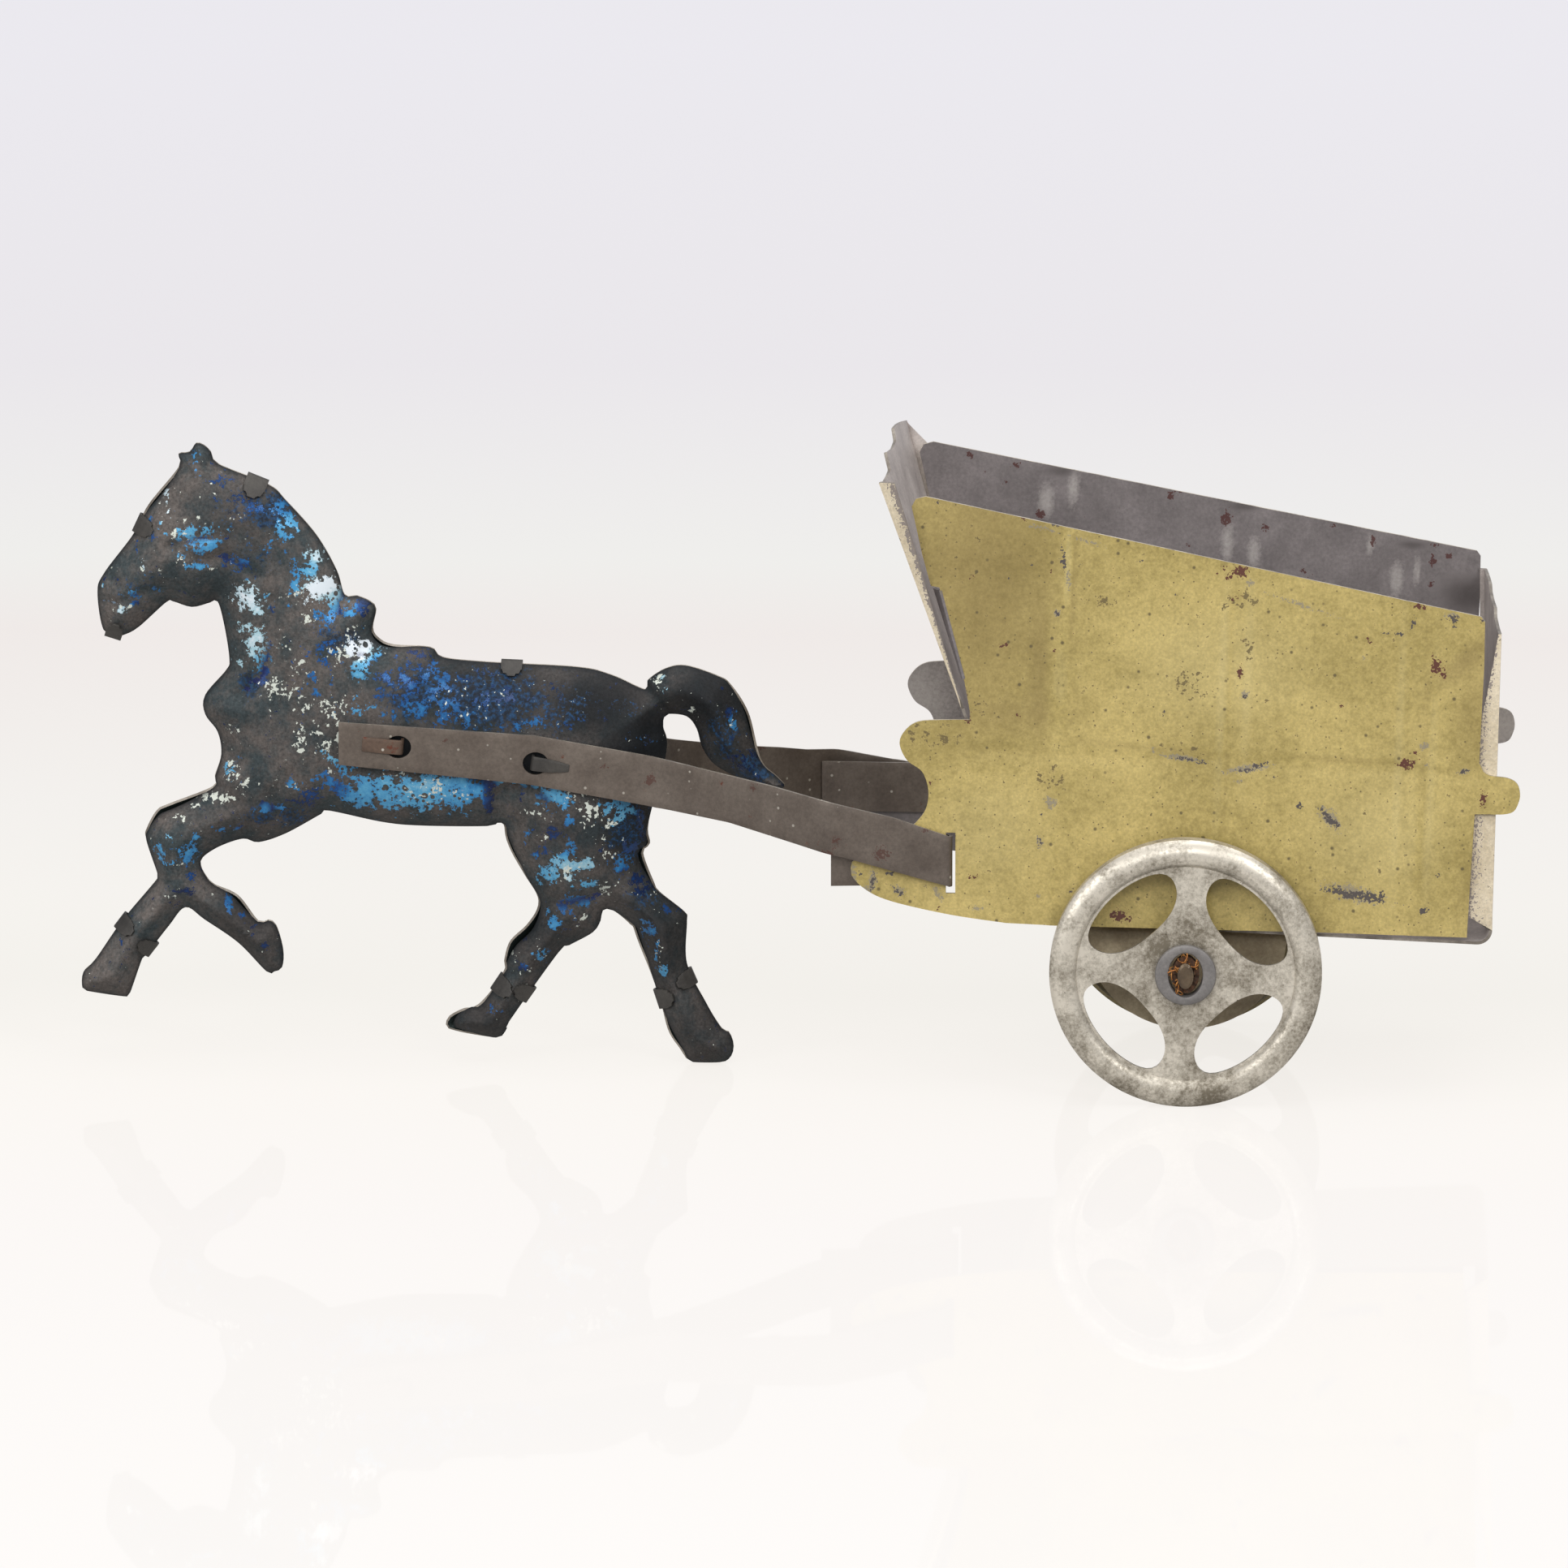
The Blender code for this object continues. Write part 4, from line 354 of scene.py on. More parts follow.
# Rust on the near side's paint
RUST = [
    (-15.8, 39.5, 0.29, 0.20, 0), (-13.3, 34.8, 0.14, 0.18, 0), (-20.2, 34.1, 0.25, 0.11, 0),
    (-17.1, 28.1, 0.43, 0.22, 0), (-12.7, 27.8, 0.25, 0.10, 0), (-15.7, 22.0, 0.14, 0.29, 0),
    (3.4, 35.8, 0.67, 0.52, 0), (2.4, 35.2, 0.36, 0.26, 0), (1.9, 36.2, 0.18, 0.36, 0), (1.3, 35.4, 0.16, 0.16, 0),
    (2.8, 33.2, 0.34, 0.20, 0), (3.5, 33.6, 0.16, 0.24, 0), (3.7, 26.7, 0.26, 0.56, 0), (14.9, 30.2, 0.36, 0.24, 0),
    (20.9, 28.1, 0.55, 0.65, 0), (20.6, 29.1, 0.18, 0.40, 0), (21.5, 27.4, 0.32, 0.32, 0),
    (18.6, 19.3, 0.71, 0.48, 0), (19.3, 20.4, 0.24, 0.16, 0), (19.2, 33.4, 0.59, 0.24, -12),
    (12.7, 24.2, 0.24, 0.18, 0), (19.3, 19.6, 0.28, 0.20, 0), (-23.1, 15.4, 0.18, 0.21, 0),
    (-20.1, 21.5, 0.29, 0.64, 0), (-6.5, 4.4, 0.51, 0.38, 0), (-5.3, 4.1, 0.37, 0.28, 0), (-19.1, 7.2, 0.44, 0.23, 0),
    (-21.9, 4.2, 0.26, 0.15, 0), (2.7, 2.7, 1.01, 0.37, 0), (-6.0, 4.4, 0.65, 0.51, 0), (-20.6, 23.1, 0.36, 0.88, 0),
    (25.5, 16.5, 0.29, 0.74, 0),
]
# Chips and strokes that went dark
CHIPS = [
    (-13.0, 39.0, 0.39, 0.16, -10), (-12.2, 35.9, 0.25, 1.13, 8), (-15.0, 35.3, 0.14, 0.15, 0),
    (-5.5, 36.3, 0.14, 0.15, 0), (-10.6, 35.8, 0.11, 0.13, 0), (-9.5, 27.8, 0.14, 0.11, 0),
    (-16.9, 34.2, 0.16, 0.10, 0), (-2.1, 33.4, 0.14, 0.10, 0), (-12.6, 31.2, 0.36, 0.10, -40),
    (-12.6, 31.2, 0.29, 0.10, 45), (-2.8, 22.9, 0.18, 0.26, 0), (-23.4, 40.6, 0.25, 0.18, 0),
    (18.6, 31.7, 0.14, 0.73, -15), (17.5, 30.9, 0.49, 0.16, 0), (16.5, 30.8, 0.30, 0.16, 0),
    (16.1, 31.0, 0.12, 0.12, 0), (22.2, 32.5, 0.51, 0.32, 0), (24.7, 32.4, 0.20, 0.16, 0),
    (-0.8, 18.7, 1.18, 0.18, -6), (0.6, 18.6, 0.59, 0.10, -10), (4.4, 18.0, 1.18, 0.14, 10),
    (5.7, 18.5, 0.79, 0.24, 25), (7.0, 17.4, 0.24, 0.14, 0), (23.7, 18.9, 0.51, 0.20, 15), (4.2, 24.6, 0.24, 0.28, 0),
    (22.3, 31.8, 0.16, 0.28, 0), (-25.6, 5.5, 0.62, 0.26, -40), (-27.9, 6.3, 0.15, 1.05, -8),
    (-26.4, 7.1, 0.55, 0.15, 0), (-13.3, 10.6, 0.22, 0.49, 10), (-13.3, 13.1, 0.18, 0.15, 0),
    (-10.4, 6.4, 0.15, 0.15, 0), (-29.0, 7.0, 0.26, 0.11, 0), (-23.3, 6.2, 0.15, 0.15, 0),
    (11.9, 14.2, 1.15, 0.29, -45), (12.4, 13.7, 0.72, 0.29, -40), (14.5, 7.3, 2.45, 0.37, -8),
    (16.1, 7.2, 1.15, 0.37, -20), (13.2, 7.7, 1.01, 0.29, -15), (17.0, 7.4, 0.22, 0.59, 0),
    (21.8, 9.4, 0.29, 0.22, 0), (20.7, 6.2, 0.36, 0.29, 0), (9.4, 15.1, 0.29, 0.29, 0),
]
# Scuffs down to grey metal
SCUFFS = [
    (4.2, 34.8, 0.39, 0.30, 0), (14.5, 28.5, 0.18, 0.20, 0), (4.2, 24.8, 0.36, 0.40, 0), (-1.0, 18.8, 1.97, 0.30, -5),
    (4.8, 18.2, 1.97, 0.34, 12), (23.7, 18.9, 0.55, 0.26, 15), (20.1, 21.0, 0.43, 0.32, 30),
    (9.2, 32.9, 3.75, 0.10, -16), (22.1, 32.7, 0.67, 0.28, 0), (4.0, 17.0, 0.43, 0.16, 0),
    (20.4, 19.2, 0.24, 0.28, 0), (-12.5, 14.3, 0.48, 0.64, 20), (-13.2, 5.8, 0.26, 0.23, 0),
    (-25.6, 5.6, 0.62, 0.41, -40), (-28.0, 6.4, 0.33, 1.16, -6), (-18.6, 4.4, 0.62, 0.23, 0),
    (-28.4, 5.5, 0.55, 0.38, -35), (-29.6, 6.9, 0.22, 1.13, 8), (-13.3, 10.6, 0.29, 0.56, 10),
    (-11.7, 34.1, 0.18, 1.28, 4), (-12.6, 31.2, 0.36, 0.29, 0), (-14.4, 38.8, 1.61, 0.15, -9),
    (-10.2, 37.8, 1.61, 0.15, -14), (12.1, 14.1, 1.29, 0.59, -45), (14.6, 7.4, 2.73, 0.66, -10),
    (-3.7, 19.4, 0.22, 0.22, 0), (-22.1, 5.6, 0.29, 0.74, 30),
]
# Patches of dense fine specks
PEPPER = [
    (-1.2, 25.6, 1.07, 1.28, 0), (-0.6, 25.1, 1.38, 1.21, 0), (4.3, 29.4, 0.79, 1.21, 0), (-0.4, 19.7, 2.37, 0.40, 0),
    (-23.3, 19.4, 2.20, 0.75, 0), (-25.0, 19.3, 0.55, 1.50, 0), (-12.6, 16.2, 1.47, 1.13, 0),
    (-8.3, 32.5, 1.07, 0.55, 0), (-21.0, 22.5, 2.16, 1.47, 0), (3.6, 33.2, 1.44, 0.74, 0),
]
# Rust inside
INSIDE_RUST = [
    (-21.2, 40.0, 0.36, 0.33, 0), (-14.7, 34.8, 0.50, 0.40, 0), (-17.0, 39.1, 0.43, 0.29, 0),
    (-3.1, 36.9, 0.32, 0.51, 0), (-1.3, 32.4, 0.25, 0.20, 0), (-17.9, 37.6, 0.36, 0.18, 0),
    (-19.7, 38.6, 0.14, 0.18, 0), (2.0, 34.9, 0.51, 0.65, 0), (5.5, 34.2, 0.30, 0.36, 0), (9.1, 30.4, 0.30, 0.28, 0),
    (9.7, 29.8, 0.39, 0.10, 0), (15.2, 33.4, 0.28, 0.52, 0), (-1.3, 32.4, 0.24, 0.24, 0), (20.7, 31.7, 0.28, 0.52, 0),
    (20.6, 29.6, 0.28, 0.36, 0), (22.1, 32.2, 0.36, 0.32, 0), (11.6, 34.7, 0.24, 0.20, 0),
    (20.8, 33.1, 0.43, 0.20, 0), (-2.1, 37.2, 0.36, 0.16, 0),
]
# Painted highlights inside: light lines along the ribs, and painted light on the far side's front lobe and rear lug
PAINTED_LIGHT_INSIDE = [
    (-25.5, 17.0, 3.6, 4.5, 0), (27.8, 17.0, 2.4, 2.6, 0), (-14.2, 36.0, 0.61, 1.37, 0), (-11.8, 37.2, 0.43, 1.46, 0),
    (2.2, 32.7, 0.47, 1.61, 0), (4.6, 31.9, 0.51, 1.21, 0), (17.5, 29.9, 0.51, 1.41, 0), (19.3, 30.8, 0.24, 1.21, 0),
    (15.0, 32.9, 0.28, 0.81, 0),
]
# Dark stains inside
STAINS = [
    (3.7, 36.1, 1.18, 0.36, 0), (18.8, 33.1, 1.18, 0.32, 0), (23.8, 28.9, 2.17, 1.41, 0),
    (-12.9, 38.8, 1.07, 0.44, 0),
]

# Painted shade and painted highlight on the side's paint, where its bends, ribs and creases lose or catch the light,
# in the same numbers with an amount: above nothing darker, below it lighter
LIGHT_AND_SHADE = [
    (-19.5, 34.0, 7.4, 13.0, 0, 0.85), (-15.0, 22.0, 5.0, 1.6, 4, 0.35), (-13.9, 26.0, 0.9, 5.5, 2, 0.40),
    (-12.2, 25.0, 0.9, 5.5, 0, -0.4), (-11.8, 35.4, 0.3, 3.8, 0, -0.8), (-11.2, 33.4, 0.2, 6.5, 0, 0.4),
    (2.2, 24.0, 0.35, 12.0, 0, -0.30), (2.8, 24.0, 0.30, 12.0, 0, 0.20), (4.4, 26.0, 0.40, 10.0, 0, -0.25),
    (17.9, 21.0, 0.35, 12.0, 0, -0.30), (20.1, 18.0, 0.40, 12.0, 0, 0.25), (20.8, 18.0, 0.4, 12.0, 0, -0.25),
    (22.8, 28.2, 3.6, 0.9, 44, 0.55), (24.6, 25.0, 2.0, 5.5, 0, 0.45), (13.5, 19.4, 4.4, 0.3, -1, 0.5),
    (16.5, 13.0, 5.5, 5.0, 0, -0.3), (2.0, 27.0, 7.0, 5.0, 0, -0.3), (-18.0, 12.0, 4.5, 5.0, 0, -0.25),
    (25.0, 8.0, 1.4, 5.0, 0, 0.35), (-5.0, 19.6, 8.0, 0.35, -3, 0.35),
]

# The front board's top edge from its left corner (-1) to its right (1): share of the width, rise in mm
BOARD_CREST = [
    (-1.0, 0.0), (-0.82, -0.4), (-0.62, -0.5), (-0.42, -0.5), (-0.34, 0.8), (-0.16, 0.45), (0.0, 0.22), (0.24, 0.25),
    (0.34, 1.1), (0.56, 0.88), (0.78, 0.5), (1.0, 0.0),
]
# The table top's tone from its near edge (metres along Y) to the far one; the darker tones near the toy, at about
# 0.03 and 0.07 m, hold a painted shadow of it
FLOOR_TONES_AND_SHADOW = [
    (-0.20, "#fcf9f6"), (-0.06, "#f9f5f2"), (-0.01, "#f9f5f0"), (0.03, "#f2efe9"), (0.07, "#f3f0eb"),
    (0.11, "#f1eeea"), (0.20, "#ede7e4"), (0.24, "#edece9"), (0.36, "#e8e5e9"), (0.60, "#ebe9ef"),
]


# Shaping helpers

def activate(item):
    bpy.ops.object.select_all(action='DESELECT')
    item.select_set(True)
    bpy.context.view_layer.objects.active = item


def start_edit(item):
    activate(item)
    bpy.ops.object.mode_set(mode='EDIT')
    bpy.ops.mesh.select_mode(type='VERT')
    bpy.ops.mesh.select_all(action='SELECT')


def end_edit():
    bpy.ops.object.mode_set(mode='OBJECT')


def outward():
    """Faces outwards, on the mesh in edit mode."""
    bpy.ops.mesh.select_all(action='SELECT')
    bpy.ops.mesh.normals_make_consistent(inside=False)


def face_towards(item, direction, least=0.0):
    """Turns a sheet's front to a direction, judged by the faces that look at it or away by more than the least."""
    start_edit(item)
    outward()
    end_edit()
    looks = [face.normal.dot(direction) for face in item.data.polygons]
    if np.mean([look for look in looks if abs(look) > least]) < 0:
        start_edit(item)
        bpy.ops.mesh.flip_normals()
        end_edit()


def named(item, name, materials):
    item.name = name
    item.data.name = name
    item.data.materials.clear()
    for material in materials:
        item.data.materials.append(material)
    return item


def get_places(item):
    places = np.empty(len(item.data.vertices) * 3)
    item.data.vertices.foreach_get("co", places)
    return places.reshape(-1, 3)


def set_places(item, places):
    item.data.vertices.foreach_set("co", np.asarray(places, dtype=float).ravel())
    item.data.update()


def paint_float(item, name, values):
    """Keeps a number on each of the mesh's points for the finish to read."""
    layer = item.data.attributes.new(name, 'FLOAT', 'POINT')
    layer.data.foreach_set("value", np.asarray(values, dtype=float))


def add_modifier(item, kind, **settings):
    """Adds a modifier with its settings and applies it to the mesh."""
    modifier = item.modifiers.new(kind.lower(), kind)
    for key, value in settings.items():
        setattr(modifier, key, value)
    activate(item)
    bpy.ops.object.modifier_apply(modifier=modifier.name)


def cut(item, cutter, **settings):
    add_modifier(item, 'BOOLEAN', operation='DIFFERENCE', object=cutter, solver='EXACT', **settings)


def join(items):
    """Joins the items into the first one."""
    activate(items[0])
    for item in items:
        item.select_set(True)
    bpy.ops.object.join()
    return items[0]


def settle(item, place, angle=35):
    """Puts the object's place into its mesh and smooths it up to an angle."""
    item.data.transform(place @ item.matrix_world)
    item.matrix_world = Matrix.Identity(4)
    activate(item)
    bpy.ops.object.shade_smooth_by_angle(angle=radians(angle))


def curve_through(points, step, closed):
    """Points about one step apart on a smooth curve through the given ones."""
    given = [Vector(p) for p in points]
    count = len(given)
    result = []
    for i in range(count if closed else count - 1):
        before = given[i - 1] if closed or i > 0 else given[i]
        start = given[i]
        end = given[(i + 1) % count]
        after = given[(i + 2) % count] if closed or i + 2 < count else end
        pieces = max(1, round((end - start).length / step))
        for k in range(pieces):
            t = k / pieces
            result.append(0.5 * (2 * start + (end - before) * t
                                 + (2 * before - 5 * start + 4 * end - after) * t * t
                                 + (3 * start - before - 3 * end + after) * t ** 3))
    if not closed:
        result.append(given[-1])
    return result


def in_mm(points):
    return [(x * mm, z * mm) for x, z in points]


def along_line(line, at):
    """The second number of a line of pairs at a value of the first, turned from millimetres into metres."""
    return np.interp(at, [p[0] for p in line], [p[1] for p in line]) * mm


def rounded_path(corners, piece=radians(9)):
    """A polyline whose inner corners (x, y, radius) are turned into arcs."""
    path = [Vector(corners[0][:2])]
    for before, corner, after in zip(corners, corners[1:], corners[2:]):
        here = Vector(corner[:2])
        back = (Vector(before[:2]) - here).normalized()
        ahead = (Vector(after[:2]) - here).normalized()
        half = back.angle(ahead) / 2
        radius = corner[2]
        centre = here + (back + ahead).normalized() * (radius / sin(half))
        start = here + back * (radius / tan(half)) - centre
        end = here + ahead * (radius / tan(half)) - centre
        turn = atan2(start.x * end.y - start.y * end.x, start.dot(end))
        pieces = max(2, round(abs(turn) / piece))
        for k in range(pieces + 1):
            angle = turn * k / pieces
            path.append(centre + Vector((start.x * cos(angle) - start.y * sin(angle),
                                         start.x * sin(angle) + start.y * cos(angle))))
    path.append(Vector(corners[-1][:2]))
    return path


def finer(path, step):
    """The same polyline with points at most a step apart."""
    run = [path[0]]
    for before, after in zip(path, path[1:]):
        pieces = max(1, round((after - before).length / step))
        for k in range(1, pieces + 1):
            run.append(before.lerp(after, k / pieces))
    return run


def sheet(name, rows, materials):
    """A grid primitive whose points are moved to the given rows of places."""
    across = len(rows[0])
    bpy.ops.mesh.primitive_grid_add(x_subdivisions=across - 1, y_subdivisions=len(rows) - 1, size=1)
    item = named(bpy.context.active_object, name, materials)
    set_places(item, [tuple(place) for row in rows for place in row])
    return item


def outline_plate(name, outline, grid, materials):
    """A flat plate in the XZ plane: a circle drawn out to the outline, filled and cut into small cells."""
    bpy.ops.mesh.primitive_circle_add(vertices=len(outline), radius=1, fill_type='NOTHING')
    item = named(bpy.context.active_object, name, materials)
    set_places(item, [(p[0], 0, p[1]) for p in outline])
    start_edit(item)
    bpy.ops.mesh.edge_face_add()
    low = Vector((min(p[0] for p in outline), 0, min(p[1] for p in outline)))
    high = Vector((max(p[0] for p in outline), 0, max(p[1] for p in outline)))
    for axis, normal in ((0, (1, 0, 0)), (2, (0, 0, 1))):
        cuts = int((high[axis] - low[axis]) / grid)
        for k in range(cuts):
            place = [0, 0, 0]
            place[axis] = low[axis] + (k + 0.5) * (high[axis] - low[axis]) / cuts
            bpy.ops.mesh.select_all(action='SELECT')
            bpy.ops.mesh.bisect(plane_co=place, plane_no=normal)
    bpy.ops.mesh.select_all(action='SELECT')
    bpy.ops.mesh.quads_convert_to_tris(quad_method='BEAUTY', ngon_method='BEAUTY')
    bpy.ops.mesh.subdivide(number_cuts=1)
    end_edit()
    return item


def turned(name, stations, materials, segments=144):
    """A closed ring turned about the axle: a circle extruded through (wide, tall, y) stations."""
    bpy.ops.mesh.primitive_circle_add(vertices=segments, radius=1, fill_type='NOTHING', rotation=(pi / 2, 0, 0))
    item = named(bpy.context.active_object, name, materials)
    bpy.ops.object.transform_apply(location=True, rotation=True, scale=True)
    wide, tall, y = stations[0]
    start_edit(item)
    bpy.ops.transform.resize(value=(wide, 1, tall), center_override=(0, 0, 0))
    bpy.ops.transform.translate(value=(0, y, 0))
    for next_wide, next_tall, next_y in stations[1:]:
        bpy.ops.mesh.extrude_region_move()
        bpy.ops.transform.resize(value=(next_wide / wide, 1, next_tall / tall), center_override=(0, 0, 0))
        bpy.ops.transform.translate(value=(0, next_y - y, 0))
        wide, tall, y = next_wide, next_tall, next_y
    bpy.ops.mesh.select_all(action='DESELECT')
    bpy.ops.mesh.select_mode(type='EDGE')
    bpy.ops.mesh.select_non_manifold()
    bpy.ops.mesh.bridge_edge_loops()
    outward()
    end_edit()
    return item


def strip(name, centres, across, half_widths, wall, materials):
    """A bent tongue of sheet along its centres, with a wall and softened edges."""
    rows = [[c - across * h, c - across * h * 0.5, c, c + across * h * 0.5, c + across * h]
            for c, h in zip(centres, half_widths)]
    item = sheet(name, rows, materials)
    add_modifier(item, 'SOLIDIFY', thickness=wall, offset=0.0, use_even_offset=True)
    add_modifier(item, 'BEVEL', width=0.05 * mm, segments=2, limit_method='ANGLE', angle_limit=radians(40))
    return item


def side_half_spacing(x):
    return side_spacing / 2 + x * tan(side_toe_in)


# Finishes

def colour(code):
    """An sRGB hex colour as linear values."""
    shares = [int(code[i:i + 2], 16) / 255 for i in (1, 3, 5)]
    return (*[s / 12.92 if s <= 0.04045 else ((s + 0.055) / 1.055) ** 2.4 for s in shares], 1.0)


def connect(tree, node, links):
    """Gives a node's inputs, by name or number, a value, an output or another node's first output in use."""
    for key, value in links.items():
        if isinstance(value, bpy.types.Node):
            value = next(output for output in value.outputs if output.enabled)
        if isinstance(value, bpy.types.NodeSocket):
            tree.links.new(value, node.inputs[key])
        else:
            node.inputs[key].default_value = value


def add_node(tree, kind, links=(), **settings):
    """Adds a node with its settings; the links go by name or number, or are a row in the inputs' own order.

    A map range's row is its value, the range that this comes from and the range that it goes to.
    """
    made = tree.nodes.new(kind)
    for key, value in settings.items():
        setattr(made, key, value)
    connect(tree, made, links if isinstance(links, dict) else dict(enumerate(links)))
    return made


def new_finish(name, metallic, roughness):
    material = bpy.data.materials.new(name)
    material.use_nodes = True
    tree = material.node_tree
    shader = tree.nodes["Principled BSDF"]
    shader.inputs["Metallic"].default_value = metallic
    shader.inputs["Roughness"].default_value = roughness
    here = add_node(tree, 'ShaderNodeTexCoord').outputs["Object"]
    return material, tree, shader, here


def marked(tree, base, ragged, marks):
    """Adds the marks that are painted on a piece's points, crisp and ragged or soft, and how much at most."""
    for layer, code, crisp, most in marks:
        amount = add_node(tree, 'ShaderNodeAttribute', attribute_name=layer).outputs["Fac"]
        edge = add_node(tree, 'ShaderNodeMath', (ragged, 2.4 if crisp else 1.0, amount), operation='MULTIPLY_ADD')
        low, high = (1.78, 1.86) if crisp else (0.70, 1.60)
        mask = add_node(tree, 'ShaderNodeMapRange', (edge, low, high, 0, most))
        base = add_node(tree, 'ShaderNodeMix', {0: mask, 6: base, 7: colour(code)}, data_type='RGBA')
    return base


def dotted(tree, here, scale, rare, inner, most):
    """Small round dots in the rare ones of scattered cells, soft from their inner reach outwards."""
    cells = add_node(tree, 'ShaderNodeTexVoronoi', {"Vector": here, "Scale": scale, "Randomness": 1.0})
    pick = add_node(tree, 'ShaderNodeSeparateColor', [cells.outputs["Color"]])
    chosen = add_node(tree, 'ShaderNodeMath', (pick, rare), operation='GREATER_THAN')
    size = add_node(tree, 'ShaderNodeMapRange', (cells, 0.22, inner, 0, most))
    return add_node(tree, 'ShaderNodeMath', (chosen, size), operation='MULTIPLY')


def oxidised_tin(name, light, dark, rust, rust_level=0.70, metallic=0.35, roughness=0.52, fleck=None, rare=0.90,
                 marks=()):
    """Bare tinplate that has browned with age: fine mottle, a few rust spots, dull metal."""
    material, tree, shader, here = new_finish(name, metallic, roughness)
    cloud, grain, spots = [
        add_node(tree, 'ShaderNodeTexNoise', {"Vector": here, "Scale": scale, "Detail": detail, "Roughness": rough})
        for scale, detail, rough in ((260, 6, 0.62), (3200, 3, 0.7), (420, 5, 0.7))]
    blend = add_node(tree, 'ShaderNodeMapRange', (cloud, 0.32, 0.66))
    base = add_node(tree, 'ShaderNodeMix', {0: blend, 6: colour(dark), 7: colour(light)}, data_type='RGBA')
    shade = add_node(tree, 'ShaderNodeMapRange', (grain, 0.25, 0.75, 0.78, 1.2))
    toned = add_node(tree, 'ShaderNodeMix', {0: 1.0, 6: base, 7: shade}, data_type='RGBA', blend_type='MULTIPLY')
    pit = add_node(tree, 'ShaderNodeMapRange', (spots, rust_level, rust_level + 0.05))
    last = add_node(tree, 'ShaderNodeMix', {0: pit, 6: toned, 7: colour(rust)}, data_type='RGBA')
    if fleck:
        bright = dotted(tree, here, 1500, rare, 0.14, 1.0)
        last = add_node(tree, 'ShaderNodeMix', {0: bright, 6: last, 7: colour(fleck)}, data_type='RGBA')
    last = marked(tree, last, grain, marks)
    rough = add_node(tree, 'ShaderNodeMapRange', (cloud, 0, 1, roughness - 0.12, roughness + 0.16))
    bump = add_node(tree, 'ShaderNodeBump', {"Height": grain, "Strength": 0.12, "Distance": 0.00003})
    connect(tree, shader, {"Base Color": last, "Roughness": rough, "Normal": bump})
    return material


def painted_tin(name, light, dark, speck, speck_level, roughness=0.42, rust_level=0.74, marks=()):
    """Thin printed paint on tinplate: mottled coat, dark specks, rust pits and worn flecks."""
    material, tree, shader, here = new_finish(name, 0.0, roughness)
    cloud, mottle, grit, spots = [
        add_node(tree, 'ShaderNodeTexNoise', {"Vector": here, "Scale": scale, "Detail": detail, "Roughness": rough})
        for scale, detail, rough in ((120, 4, 0.55), (1500, 4, 0.7), (4200, 2, 0.6), (520, 4, 0.75))]
    broad = add_node(tree, 'ShaderNodeMath', (cloud, 0.55), operation='MULTIPLY')
    both = add_node(tree, 'ShaderNodeMath', (mottle, 0.45, broad), operation='MULTIPLY_ADD')
    blend = add_node(tree, 'ShaderNodeMapRange', (both, 0.38, 0.60))
    base = add_node(tree, 'ShaderNodeMix', {0: blend, 6: colour(dark), 7: colour(light)}, data_type='RGBA')
    fine = add_node(tree, 'ShaderNodeMapRange', (grit, 0.3, 0.7, 0.84, 1.12))
    last = add_node(tree, 'ShaderNodeMix', {0: 1.0, 6: base, 7: fine}, data_type='RGBA', blend_type='MULTIPLY')
    layers = []
    # Painted shade and painted highlight read from the shade map, and patches of dense fine specks
    if marks:
        shade, pepper = [add_node(tree, 'ShaderNodeAttribute', attribute_name=layer).outputs["Fac"]
                         for layer in ("shade", "pepper")]
        painted_shade = add_node(tree, 'ShaderNodeMapRange', (shade, 0, 1, 0, 0.6))
        painted_highlight = add_node(tree, 'ShaderNodeMapRange', (shade, 0, -1, 0, 0.35))
        dense = add_node(tree, 'ShaderNodeMath', (pepper, 0.16, mottle), operation='MULTIPLY_ADD')
        grains = add_node(tree, 'ShaderNodeMapRange', (dense, 0.66, 0.70, 0, 0.8))
        layers = [(painted_shade, "#6f5c33"), (painted_highlight, "#e6d9a6"), (grains, "#54462c")]
    for scale, rare in ((1050, speck_level + 0.06), (2300, speck_level)):
        layers.append((dotted(tree, here, scale, rare, 0.10, 0.85), speck))
    pit = add_node(tree, 'ShaderNodeMapRange', (spots, rust_level, rust_level + 0.03))
    for share, code in layers + [(pit, "#6b3a26")]:
        last = add_node(tree, 'ShaderNodeMix', {0: share, 6: last, 7: colour(code)}, data_type='RGBA')
    last = marked(tree, last, grit, marks)
    bump = add_node(tree, 'ShaderNodeBump', {"Height": mottle, "Strength": 0.15, "Distance": 0.00004})
    connect(tree, shader, {"Base Color": last, "Normal": bump})
    return material


